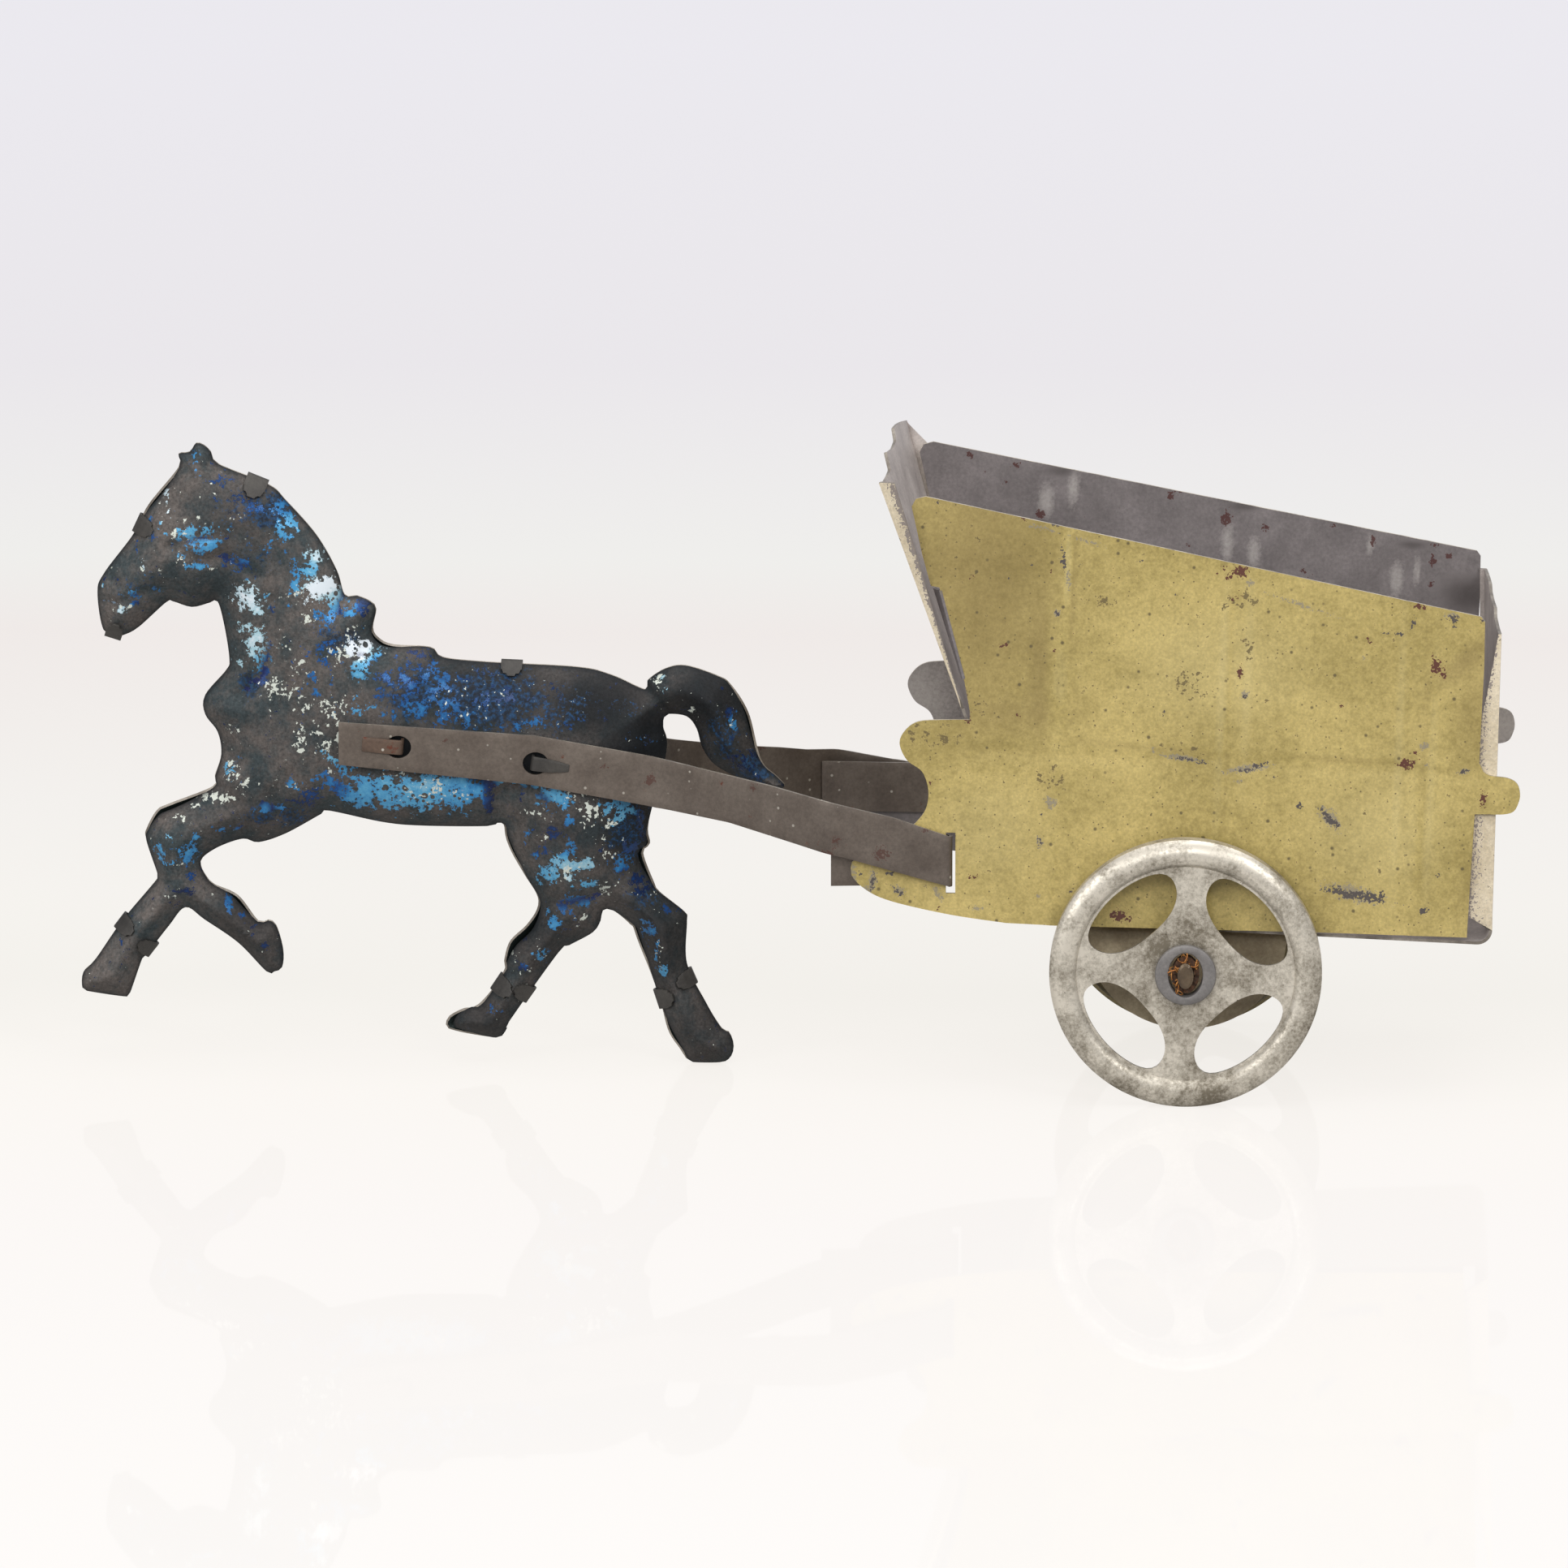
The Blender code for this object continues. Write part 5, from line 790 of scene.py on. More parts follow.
def lacquered_tin():
    """Translucent blue lacquer on tinplate, worn off in blotches down to browned metal."""
    material, tree, shader, here = new_finish("lacquered_tinplate_blue", 0.10, 0.42)
    shader.inputs["Specular IOR Level"].default_value = 0.2
    left, tone, groove, flecks, film, dark, rim = [
        add_node(tree, 'ShaderNodeAttribute', attribute_name=layer).outputs["Fac"]
        for layer in ("lacquer", "paleness_and_highlight", "crease", "flecks", "film", "tarnish_and_shade", "rim")]
    blotch, ragged, cloud, chips = [
        add_node(tree, 'ShaderNodeTexNoise', {"Vector": here, "Scale": scale, "Detail": detail, "Roughness": rough})
        for scale, detail, rough in ((1000, 6, 0.66), (3600, 4, 0.7), (260, 8, 0.72), (2300, 3, 0.6))]

    # The metal under it: browned, bluer where the lacquer came off late, and darker by tarnish and by painted shade
    # over the back and rear half
    brown = add_node(tree, 'ShaderNodeMapRange', (cloud, 0.40, 0.58))
    bare = add_node(tree, 'ShaderNodeMix', {0: brown, 6: colour("#3a4244"), 7: colour("#5f5955")}, data_type='RGBA')
    tarnished_and_shaded = add_node(tree, 'ShaderNodeMix', {0: dark, 6: bare, 7: colour("#111417")}, data_type='RGBA')
    filmed = add_node(tree, 'ShaderNodeMath', (ragged, 1.4, film), operation='MULTIPLY_ADD')
    thin = add_node(tree, 'ShaderNodeMath', (blotch, 1.3, filmed), operation='MULTIPLY_ADD')
    share = add_node(tree, 'ShaderNodeMapRange', (thin, 1.78, 1.92, 0, 0.80))
    deep = add_node(tree, 'ShaderNodeMapRange', (chips, 0.42, 0.60))
    ink = add_node(tree, 'ShaderNodeMix', {0: deep, 6: colour("#141e2b"), 7: colour("#1f4468")}, data_type='RGBA')
    tinted = add_node(tree, 'ShaderNodeMix', {0: share, 6: tarnished_and_shaded, 7: ink}, data_type='RGBA')
    speckle = add_node(tree, 'ShaderNodeMapRange', (ragged, 0.3, 0.7, 0.58, 1.46))
    metal = add_node(tree, 'ShaderNodeMix', {0: 1.0, 6: tinted, 7: speckle}, data_type='RGBA', blend_type='MULTIPLY')

    # Round pits of two sizes eaten through the coat
    holes = []
    for scale, rare, reach in ((1150, 0.40, 0.38), (2500, 0.34, 0.42)):
        cells = add_node(tree, 'ShaderNodeTexVoronoi', {"Vector": here, "Scale": scale, "Randomness": 1.0})
        pick = add_node(tree, 'ShaderNodeSeparateColor', [cells.outputs["Color"]])
        size = add_node(tree, 'ShaderNodeMapRange', (pick, rare, 1, 0, reach))
        depth = add_node(tree, 'ShaderNodeMath', (size, cells), operation='SUBTRACT')
        holes.append(add_node(tree, 'ShaderNodeMapRange', (depth, -0.03, 0.03)))
    eaten = add_node(tree, 'ShaderNodeMath', holes, operation='MAXIMUM')

    # What is left of the coat, and how thick it is
    thickness = left
    for pattern, weight in ((blotch, 3.6), (ragged, 1.6), (eaten, -1.3)):
        thickness = add_node(tree, 'ShaderNodeMath', (pattern, weight, thickness), operation='MULTIPLY_ADD')
    kept = add_node(tree, 'ShaderNodeMapRange', (thickness, 3.20, 3.25))
    body = add_node(tree, 'ShaderNodeMapRange', (thickness, 3.20, 4.10, -0.06, 0.12))
    toned = add_node(tree, 'ShaderNodeMath', (tone, body), operation='ADD')
    # Deep blue to pale; the near-white top also gives the painted highlights on the crest, wither and forehead
    blues = add_node(tree, 'ShaderNodeValToRGB', [toned])
    stops = blues.color_ramp.elements
    stops[0].position, stops[0].color = 0.0, colour("#17254a")
    stops[1].position, stops[1].color = 1.0, colour("#e3ecf2")
    for position, code in ((0.22, "#1f4f8c"), (0.42, "#3a86bd"), (0.62, "#5fa9d0"), (0.82, "#a6cbd6")):
        stops.new(position).color = colour(code)
    creased = add_node(tree, 'ShaderNodeMix', {0: groove, 6: blues, 7: colour("#1b2452")}, data_type='RGBA')
    # Painted shade on the lacquer too, by the same map, over the back and rear half
    coat_shade = add_node(tree, 'ShaderNodeMapRange', (dark, 0, 1, 0, 0.35))
    shaded_coat = add_node(tree, 'ShaderNodeMix', {0: coat_shade, 6: creased, 7: colour("#14202c")}, data_type='RGBA')
    coated = add_node(tree, 'ShaderNodeMix', {0: kept, 6: metal, 7: shaded_coat}, data_type='RGBA')

    # Flecks of the pale priming, and painted shade along the pressing's edge and round the tongues' holes
    fleck = add_node(tree, 'ShaderNodeMath', (flecks, 0.24, chips), operation='MULTIPLY_ADD')
    pale = add_node(tree, 'ShaderNodeMapRange', (fleck, 0.715, 0.74))
    flecked = add_node(tree, 'ShaderNodeMix', {0: pale, 6: coated, 7: colour("#d3d8cd")}, data_type='RGBA')
    edged = add_node(tree, 'ShaderNodeMix', {0: rim, 6: flecked, 7: colour("#15181b")}, data_type='RGBA')
    gloss = add_node(tree, 'ShaderNodeMapRange', (kept, 0, 1, 0.60, 0.22))
    raised = add_node(tree, 'ShaderNodeMath', (kept, 0.9, ragged), operation='MULTIPLY_ADD')
    bump = add_node(tree, 'ShaderNodeBump', {"Height": raised, "Strength": 0.45, "Distance": 0.00005})
    connect(tree, shader, {"Base Color": edged, "Roughness": gloss, "Normal": bump})
    return material


def rubbed_tinplate():
    """Bright tinplate dulled by handling: silver with grey-brown grime in soft clouds, and painted shade that darkens
    it low and behind.
    """
    material, tree, shader, here = new_finish("rolled_tinplate_bright", 0.55, 0.34)
    cloud, grain, specks = [
        add_node(tree, 'ShaderNodeTexNoise', {"Vector": here, "Scale": scale, "Detail": detail, "Roughness": rough})
        for scale, detail, rough in ((230, 6, 0.65), (3400, 4, 0.7), (1500, 4, 0.8))]
    fine = add_node(tree, 'ShaderNodeMath', (grain, 0.60, cloud), operation='MULTIPLY_ADD')
    hub = add_node(tree, 'ShaderNodeVectorMath', (here, (0.0347, 0.0, 0.012)), operation='SUBTRACT')
    flat = add_node(tree, 'ShaderNodeVectorMath', (hub, (1, 0, 1)), operation='MULTIPLY')
    away = add_node(tree, 'ShaderNodeVectorMath', [flat], operation='LENGTH')
    close = add_node(tree, 'ShaderNodeMapRange', (away, 0.0085, 0.0030, 0, 0.11))
    # Painted shade: darker low on the wheel and towards its back, added to the grime near the hub
    parts = add_node(tree, 'ShaderNodeSeparateXYZ', [hub])
    shade_below = add_node(tree, 'ShaderNodeMapRange', (parts.outputs["Z"], -0.0060, -0.0115, 0, 0.16))
    shade_behind = add_node(tree, 'ShaderNodeMapRange', (parts.outputs["X"], 0.0070, 0.0115, 0, 0.10))
    outer = add_node(tree, 'ShaderNodeMath', (shade_below, shade_behind), operation='MAXIMUM')
    grime_and_shade_amount = add_node(tree, 'ShaderNodeMath', (outer, close), operation='ADD')
    grain_grime_and_shade = add_node(tree, 'ShaderNodeMath', (fine, grime_and_shade_amount), operation='ADD')
    grime_and_shade = add_node(tree, 'ShaderNodeMapRange', (grain_grime_and_shade, 0.72, 1.04))
    base = add_node(tree, 'ShaderNodeMix', {0: grime_and_shade, 6: colour("#cec7b9"), 7: colour("#756d5e")}, data_type='RGBA')
    dark = add_node(tree, 'ShaderNodeMapRange', (specks, 0.66, 0.72))
    dirty = add_node(tree, 'ShaderNodeMix', {0: dark, 6: base, 7: colour("#41372a")}, data_type='RGBA')
    rough = add_node(tree, 'ShaderNodeMapRange', (grime_and_shade, 0, 1, 0.34, 0.60))
    bump = add_node(tree, 'ShaderNodeBump', {"Height": grain, "Strength": 0.10, "Distance": 0.00003})
    connect(tree, shader, {"Base Color": dirty, "Roughness": rough, "Normal": bump})
    return material


def packing_fibre(name, dark, light):
    """Coarse vegetable fibre stained with rust, teased out round the axle's end."""
    material, tree, shader, here = new_finish(name, 0.0, 0.9)
    strands = add_node(tree, 'ShaderNodeTexNoise', {"Vector": here, "Scale": 2600, "Detail": 5, "Roughness": 0.7})
    blend = add_node(tree, 'ShaderNodeMapRange', (strands, 0.35, 0.65))
    base = add_node(tree, 'ShaderNodeMix', {0: blend, 6: colour(dark), 7: colour(light)}, data_type='RGBA')
    bump = add_node(tree, 'ShaderNodeBump', {"Height": strands, "Strength": 0.6, "Distance": 0.00008})
    connect(tree, shader, {"Base Color": base, "Normal": bump})
    return material


lacquer = lacquered_tin()
# The horse halves' inner faces: near black, painted shade for their unlit inside
inner_tin = oxidised_tin("unlit_tinplate_black", "#26312f", "#161d1c", "#3a2a20", rust_level=0.76)
brown_tin = oxidised_tin("oxidised_tinplate_brown", "#6d635a", "#544a42", "#5d3020", rust_level=0.66, fleck="#a39d92",
                         rare=0.87, marks=(("rusting", "#4a2a22", True, 0.75),))
tab_tin = oxidised_tin("oxidised_tinplate_dark", "#474440", "#2c2a28", "#5d3020", rust_level=0.78)
# Bare tin inside, with painted highlights along the ribs and on the far lobe and lug, dark stains and rust
inside_tin = oxidised_tin("bare_tinplate_grey", "#837c7b", "#6d6766", "#4e2b22", rust_level=0.74, metallic=0.12,
                          marks=(("painted_light_inside", "#b3ada8", False, 0.75), ("stains", "#453f3d", False, 0.7),
                                 ("inside_rust", "#4f2a26", True, 0.9)))
board_tin = oxidised_tin("bare_tinplate_pinkish", "#c2b9b3", "#a69d98", "#4e2b22", rust_level=0.76)
edge_tin = oxidised_tin("sheared_tinplate_edge", "#a39b90", "#5f574e", "#4e2b22", metallic=0.4, roughness=0.4)
bright_edge = oxidised_tin("sheared_tinplate_bright", "#d6cdbb", "#85796a", "#43301f", rust_level=0.62, metallic=0.3,
                           roughness=0.4)
end_steel = oxidised_tin("flattened_steel_wire", "#75644f", "#3c3229", "#5a4a40", rust_level=0.80, metallic=0.6,
                         roughness=0.34)
golden_tin = oxidised_tin("varnished_tinplate_olive", "#938765", "#776b4a", "#4e3a22", rust_level=0.72, metallic=0.2)
# The bearer's tin, lighter than bare grey tin: painted light that makes up for the shade under the floor
bearer_tin = oxidised_tin("bare_tinplate_painted_light", "#b8a98c", "#8c7d64", "#4e2b22", rust_level=0.72, metallic=0.15)
hub_tin = oxidised_tin("clinched_steel_grey", "#84807d", "#6c6967", "#5a4a40", rust_level=0.80)
wheel_tin = rubbed_tinplate()
cut_tin = oxidised_tin("stamped_tinplate_bright_edge", "#d8d4cc", "#a8a39a", "#6a5a4c", metallic=0.7, roughness=0.3)
rusty_tin = oxidised_tin("oxidised_tinplate_rusty", "#6a5648", "#4f3f35", "#5d3020", rust_level=0.60, fleck="#b9b3a8")
yellow_paint = painted_tin("printed_enamel_mustard", "#c7b26f", "#a18f52", "#54492f", 0.80, marks=(
    ("scuffs", "#8c8474", True, 0.8), ("chips", "#4f4844", True, 1.0), ("rust", "#593023", True, 1.0)))
cream_paint = painted_tin("printed_enamel_cream", "#e8dabf", "#cdbd9f", "#5b5142", 0.95,
                          marks=(("worn", "#8d837c", True, 1.0),))
packed_fibre = packing_fibre("packed_fibre_dark", "#2b1f18", "#5c3c24")
teased_fibre = packing_fibre("teased_fibre_rusty", "#8a4c22", "#d29652")


# Horse

def line_distance(points, line, closed=False):
    """Distance of each point from a polyline."""
    corners = np.array(line + line[:1] if closed else line)
    best = np.full(len(points), 1e9)
    for corner, ahead in zip(corners, np.diff(corners, axis=0)):
        away = points - corner
        share = np.clip((away @ ahead) / max(ahead @ ahead, 1e-18), 0, 1)
        best = np.minimum(best, np.linalg.norm(away - share[:, None] * ahead, axis=1))
    return best


def curve_pairs(line):
    return [tuple(p) for p in curve_through(line, 0.5, False)] if len(line) > 2 else line


def relief(points, distance):
    """Height of the pressing over its seam, in metres, for points (x, z) in millimetres."""
    rise = half_depth * (1 - np.exp(-distance / edge_roll))
    fade = np.clip(distance / edge_roll, 0, 1)
    for x, z, reach, height in MUSCLES:
        away = np.hypot(points[:, 0] - x, points[:, 1] - z) / reach
        rise += fade * height * mm * np.exp(-away ** 2)
    for line, width, height in LINES:
        away = line_distance(points, curve_pairs(line)) / width
        rise += np.clip(distance / (0.6 * mm), 0, 1) * height * mm * np.exp(-away ** 2)
    for x, z, radius in RINGS:
        away = (np.hypot(points[:, 0] - x, points[:, 1] - z) - radius) / 0.14
        rise -= 0.06 * mm * np.exp(-away ** 2)
    return np.maximum(rise, 0)


def slipped(edge, slips):
    """The outline with the small shifts by which one pressed half misses the other."""
    moved = []
    for point in edge:
        shift = Vector((0, 0))
        for x, z, reach, shift_x, shift_z in slips:
            away = (point - Vector((x * mm, z * mm))).length / (reach * mm)
            shift += Vector((shift_x, shift_z)) * (mm * exp(-away * away))
        moved.append(point + shift)
    return moved


def spread(points, x, z, reach_x, reach_z):
    """A soft patch: 1 in its middle, falling to nothing past its reach."""
    return np.exp(-(((points[:, 0] - x) / reach_x) ** 2 + ((points[:, 1] - z) / reach_z) ** 2) ** 1.3)


def patched(points, patches):
    """The strongest patch at each point."""
    amount = np.zeros(len(points))
    for x, z, reach_x, reach_z, strength in patches:
        amount = np.maximum(amount, strength * spread(points, x, z, reach_x, reach_z))
    return amount


def paint_lacquer(item, points, distance):
    """The maps that the lacquer's finish reads, for points in millimetres and their distance from the edge."""
    left = np.zeros(len(points))
    tone = np.zeros(len(points))
    weight = np.full(len(points), 1e-6)
    for x, z, reach_x, reach_z, strength, pale in LACQUER:
        share = strength * spread(points, x, z, 1.15 * reach_x, 1.15 * reach_z)
        left = np.maximum(left, share)
        tone += share ** 3 * pale
        weight += share ** 3
    paint_float(item, "lacquer", 0.90 * np.minimum(left, 1.12))
    paint_float(item, "paleness_and_highlight", tone / weight)
    for layer, patches in (("flecks", FLECKS), ("film", FILM), ("tarnish_and_shade", DARK_TARNISH_AND_SHADE)):
        paint_float(item, layer, patched(points, patches))
    # Painted shade along the outline, where the pressing turns away to its seam, and round the holes the tongues were
    # lanced from
    rim = 0.9 * np.exp(-(distance / (0.22 * mm)) ** 2)
    for x, z, *bend in TONGUES:
        rim = np.maximum(rim, np.clip(1.6 * spread(points, x, z, 1.5, 1.4), 0, 1))
    paint_float(item, "rim", rim)
    crease = np.zeros(len(points))
    for line, width, height in LINES:
        if height < -0.15:
            away = line_distance(points, curve_pairs(line)) / (0.6 * width)
            crease = np.maximum(crease, np.exp(-away ** 2))
    for x, z, radius in RINGS:
        away = (np.hypot(points[:, 0] - x, points[:, 1] - z) - radius) / 0.12
        crease = np.maximum(crease, 0.8 * np.exp(-away ** 2))
    paint_float(item, "crease", crease)


def horse_pressing(name, side, node):
    """One embossed half, with its creases, ring marks and the map of its worn lacquer."""
    edge = slipped(curve_through(in_mm(HORSE_OUTLINE), 0.4 * mm, True), LEFT_SLIPS if side < 0 else RIGHT_SLIPS)
    item = outline_plate(name, edge, 0.7 * mm, [lacquer, inner_tin, edge_tin])
    places = get_places(item)
    flat = places[:, [0, 2]]
    distance = line_distance(flat, [tuple(p) for p in edge], True)
    places[:, 1] = side * (seam_gap / 2 + relief(flat / mm, distance))
    set_places(item, places)
    paint_lacquer(item, flat / mm, distance)
    face_towards(item, Vector((0, side, 0)))
    add_modifier(item, 'SOLIDIFY', thickness=pressing_wall, offset=-1.0, material_offset=1, material_offset_rim=2)
    settle(item, horse_place, 50)
    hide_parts(node)
    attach(item, "horse")


def seam_tabs():
    """The right half's tabs, bent round the seam and pressed flat on the left half."""
    edge = curve_through(in_mm(HORSE_OUTLINE), 0.4 * mm, True)
    seam = seam_gap / 2
    clear = 0.08 * mm + tab_wall / 2
    made = []
    for number, (x, z, width, reach) in enumerate(TABS, start=1):
        target = Vector((x * mm, z * mm))
        nearest = min(range(len(edge)), key=lambda i: (edge[i] - target).length)
        foot = edge[nearest]
        along = (edge[(nearest + 2) % len(edge)] - edge[nearest - 2]).normalized()
        inward = Vector((along.y, -along.x))
        bend = [(0.42 * mm, seam + 0.30 * mm, 0), (-clear, seam + 0.30 * mm, 0.20 * mm),
                (-clear, -seam - 0.10 * mm, 0.15 * mm)]
        for share in (0.18, 0.5, 0.8, 1.0):
            deep = share * reach * mm
            over = half_depth * (1 - exp(-deep / edge_roll))
            bend.append((deep - 0.05 * mm, -seam - over - 1.05 * clear, 0.2 * mm))
        path = finer(rounded_path(bend, radians(18)), 0.2 * mm)
        half = width * mm / 2
        last = len(path) - 1
        halves = [half * sqrt(max(0.12, 1 - max(0.0, 1 - 2.6 * ((last - k) / last)) ** 2)) for k in range(last + 1)]
        centres = [Vector((foot.x + inward.x * p.x, p.y, foot.y + inward.y * p.x)) for p in path]
        tab = strip(f"seam_tab_{number}", centres, Vector((along.x, 0, along.y)), halves, tab_wall, [tab_tin])
        settle(tab, horse_place)
        made.append(tab)
    tabs = named(join(made), "seam_tabs", [tab_tin])
    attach(tabs, "horse")


def shaft_slope(x):
    step = 1.0 * mm
    low, high = [(along_line(SHAFT_TOP, at / mm) + along_line(SHAFT_BOTTOM, at / mm)) / 2
                 for at in (x - step, x + step)]
    return atan2(high - low, 2 * step)


def lanced_tongues(word, side):
    """Two tongues that come out of the flank, pass through the shaft and lie flat on it."""
    folded = shaft_face + tin + 0.06 * mm
    made = []
    for number, (x, z, length, narrow) in enumerate(TONGUES, start=1):
        slope = shaft_slope(x * mm)
        along = Vector((cos(slope), 0, sin(slope)))
        across = Vector((-sin(slope), 0, cos(slope)))
        start = Vector((x * mm, 0, z * mm)) + along * (0.3 * mm if length < 0 else -0.3 * mm)
        path = rounded_path([(0, half_depth - 0.6 * mm), (0, folded, 0.35 * mm),
                             (0.5 * length * mm, folded, 2 * mm), (length * mm, folded - 0.25 * mm)])
        path = finer(path, 0.25 * mm)
        centres = [start + along * p.x + Vector((0, side * p.y, 0)) for p in path]
        halves = [0.65 * mm * (1 - narrow * max(0, p.x / (length * mm)) ** 2) for p in path]
        tongue = strip(f"tongue_{word}_{number}", centres, across, halves, tin, [tab_tin if narrow else rusty_tin])
        settle(tongue, horse_place)
        made.append(tongue)
    tongues = join(made)
    tongues.name = tongues.data.name = "lanced_tongues_" + word
    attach(tongues, "horse")


def shaft(word, side):
    """A flat strip on the flank, bowed out to the cart's slot and folded back inside; the right one sags."""
    slot_out = side_half_spacing(hinge_x) + seat_gap + tin / 2
    slot_in = side_half_spacing(hinge_x) - tin - seat_gap - tin / 2
    toe = tan(side_toe_in)
    front_y = shaft_face - side * horse_shift
    inner_leg = (10.6 if side < 0 else 12.2) * mm
    path = rounded_path([(-54.6 * mm, front_y), (-26.3 * mm, front_y, 5 * mm),
                         (shaft_run_x, slot_out + shaft_run_x * toe, 3 * mm), (0.0, slot_out, 0.45 * mm),
                         (0.0, slot_in, 0.45 * mm), (-inner_leg, slot_in - inner_leg * toe)])
    rows = []
    outside = []
    folded = False
    for place in finer(path, 0.5 * mm):
        folded = folded or place.x > -0.2 * mm
        x = 0.0 if folded else place.x
        droop = 0.03 * place.x if folded else 0.0
        if side > 0:
            droop = (1.05 * mm * min(1.0, -place.x / (1.5 * mm)) - 0.02 * place.x if folded else
                     along_line(RIGHT_SAG, x / mm))
        top = along_line(SHAFT_TOP, x / mm) + droop
        bottom = along_line(SHAFT_BOTTOM, x / mm) + droop
        rows.append([Vector((place.x, side * place.y, bottom + (top - bottom) * k / 8)) for k in range(9)])
        outside += [0.0 if folded else 1.0] * 9
    item = sheet("shaft_strip_" + word, rows, [brown_tin, edge_tin])
    rusting = patched(get_places(item)[:, [0, 2]] / mm, [(x, z, reach, 0.8 * reach, 1) for x, z, reach in SHAFT_RUST])
    paint_float(item, "rusting", rusting * np.array(outside))
    add_modifier(item, 'SOLIDIFY', thickness=tin, offset=0.0, use_even_offset=True, material_offset_rim=1)
    for x, z, *bend in TONGUES:
        bpy.ops.mesh.primitive_cylinder_add(vertices=40, radius=1, depth=2)
        cutter = bpy.context.active_object
        cutter.scale = (1.15 * mm, 1.02 * mm, 1.5 * mm)
        cutter.rotation_euler = (pi / 2, 0, 0)
        cutter.location = (x * mm, side * front_y, z * mm)
        cut(item, cutter)
        bpy.data.objects.remove(cutter)
    add_modifier(item, 'BEVEL', width=0.04 * mm, segments=2, limit_method='ANGLE', angle_limit=radians(50))
    settle(item, hinge_place)
    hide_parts("shaft_" + word)
    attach(item, "horse")


horse_pressing("horse_pressing_left", -1, "horse_left_half")
horse_pressing("horse_pressing_right", 1, "horse_right_half")
seam_tabs()
for word, side in SIDES:
    lanced_tongues(word, side)
    shaft(word, side)


# Cart

def side_outline():
    """The side's outline: straight between the corners of some runs, smooth through the points of others."""
    outline = []
    for points, step in ((SIDE_TOP, 0), (SIDE_LUG, 0.3), (SIDE_BOTTOM, 0), (SIDE_SILL, 0.5), (SIDE_SCALLOP, 0.3),
                         (SIDE_FRONT, 0)):
        outline += curve_through(in_mm(points), step * mm, False) if step else [Vector(p) for p in in_mm(points)]
    return outline


def mark_share(points, x, z, wide, tall, turn, least):
    """A small soft oval on the side, turned by some degrees, and never narrower than the mesh can hold."""
    across, up = points[:, 0] - x, points[:, 1] - z
    along = across * cos(radians(turn)) + up * sin(radians(turn))
    aside = up * cos(radians(turn)) - across * sin(radians(turn))
    return np.exp(-((along / max(wide, least)) ** 2 + (aside / max(tall, least)) ** 2) ** 1.3)


def paint_marks(item, side):
    """The marks of the near side's paint and of the far side's inner face, mirrored on the other one."""
    points = get_places(item)[:, [0, 2]] / mm
    mirrored = points * (-1, 1)
    for layer, marks in (("rust", RUST), ("chips", CHIPS), ("scuffs", SCUFFS), ("pepper", PEPPER),
                         ("inside_rust", INSIDE_RUST), ("painted_light_inside", PAINTED_LIGHT_INSIDE), ("stains", STAINS)):
        here = points if (layer in ("inside_rust", "painted_light_inside", "stains")) == (side > 0) else mirrored
        amount = np.zeros(len(points))
        for x, z, wide, tall, turn in marks:
            share = mark_share(here, x, z, 1.2 * wide, 1.2 * tall, turn, 0.24)
            amount = np.maximum(amount, share * min(1.0, 0.62 + 1.2 * min(wide, tall)))
        paint_float(item, layer, amount)
    # Painted shade and painted highlight of the panel's bends, ribs and creases, not mirrored
    shade = np.zeros(len(points))
    for x, z, wide, tall, turn, amount in LIGHT_AND_SHADE:
        shade += amount * mark_share(points, x, z, wide, tall, turn, 0.2)
    paint_float(item, "shade", shade)


def turned_in_strip(side):
    """The narrow strip along the side's leaning front edge that is bent towards the tub."""
    low, high = Vector(in_mm(SIDE_FRONT)[2]), Vector(in_mm(SIDE_FRONT)[3])
    bend = radians(55)
    rows = []
    for k in range(9):
        share = 0.03 + 0.94 * k / 8
        foot = low.lerp(high, share)
        width = 1.0 * mm * (0.15 + 0.85 * share)
        rows.append([Vector((foot.x + 0.15 * mm, 0, foot.y)), Vector((foot.x - 0.02 * mm, 0, foot.y)),
                     Vector((foot.x - width * cos(bend), -side * width * sin(bend), foot.y))])
    item = sheet("side_strip", rows, [inside_tin])
    add_modifier(item, 'SOLIDIFY', thickness=tin * 0.98, offset=0.0)
    return item


def cart_side(word, side):
    """A painted side with faint rib lines, a shaft slot and a strip turned in at its front."""
    item = outline_plate("side_panel_" + word, side_outline(), 0.56 * mm, [yellow_paint, inside_tin, bright_edge])
    paint_marks(item, side)
    places = get_places(item)
    x, z = places[:, 0] / mm, places[:, 2] / mm
    wave = np.zeros(len(x))
    for rib in RIBS:
        wave += 0.10 * (np.exp(-((x - rib + 1.1) / 0.5) ** 2) + np.exp(-((x - rib - 1.1) / 0.5) ** 2))
    wave -= 0.08 * np.exp(-((z - 18.6) / 0.7) ** 2) * (x > -19.5)
    wave += 0.10 * np.sin(x / 9.0 + 0.6) * np.sin(z / 11.0)
    places[:, 1] = side * wave * mm * 0.8
    set_places(item, places)
    face_towards(item, Vector((0, side, 0)))
    add_modifier(item, 'SOLIDIFY', thickness=tin, offset=0.0, material_offset=1, material_offset_rim=2)
    bpy.ops.mesh.primitive_cube_add(size=1)
    cutter = bpy.context.active_object
    cutter.scale = (slot_width, 3 * mm, slot_height)
    cutter.rotation_euler = (0, -radians(2), 0)
    cutter.location = (slot_x, 0, slot_z)
    cutter.data.materials.append(edge_tin)
    cut(item, cutter, material_mode='TRANSFER')
    bpy.data.objects.remove(cutter)
    join([item, turned_in_strip(side)])
    middle = side * (side_spacing / 2 - tin / 2)
    place = cart_place @ Matrix.Translation((0, middle, 0)) @ Matrix.Rotation(side * side_toe_in, 4, 'Z')
    settle(item, place, 30)
    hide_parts("cart_side_" + word)
    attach(item, "cart")


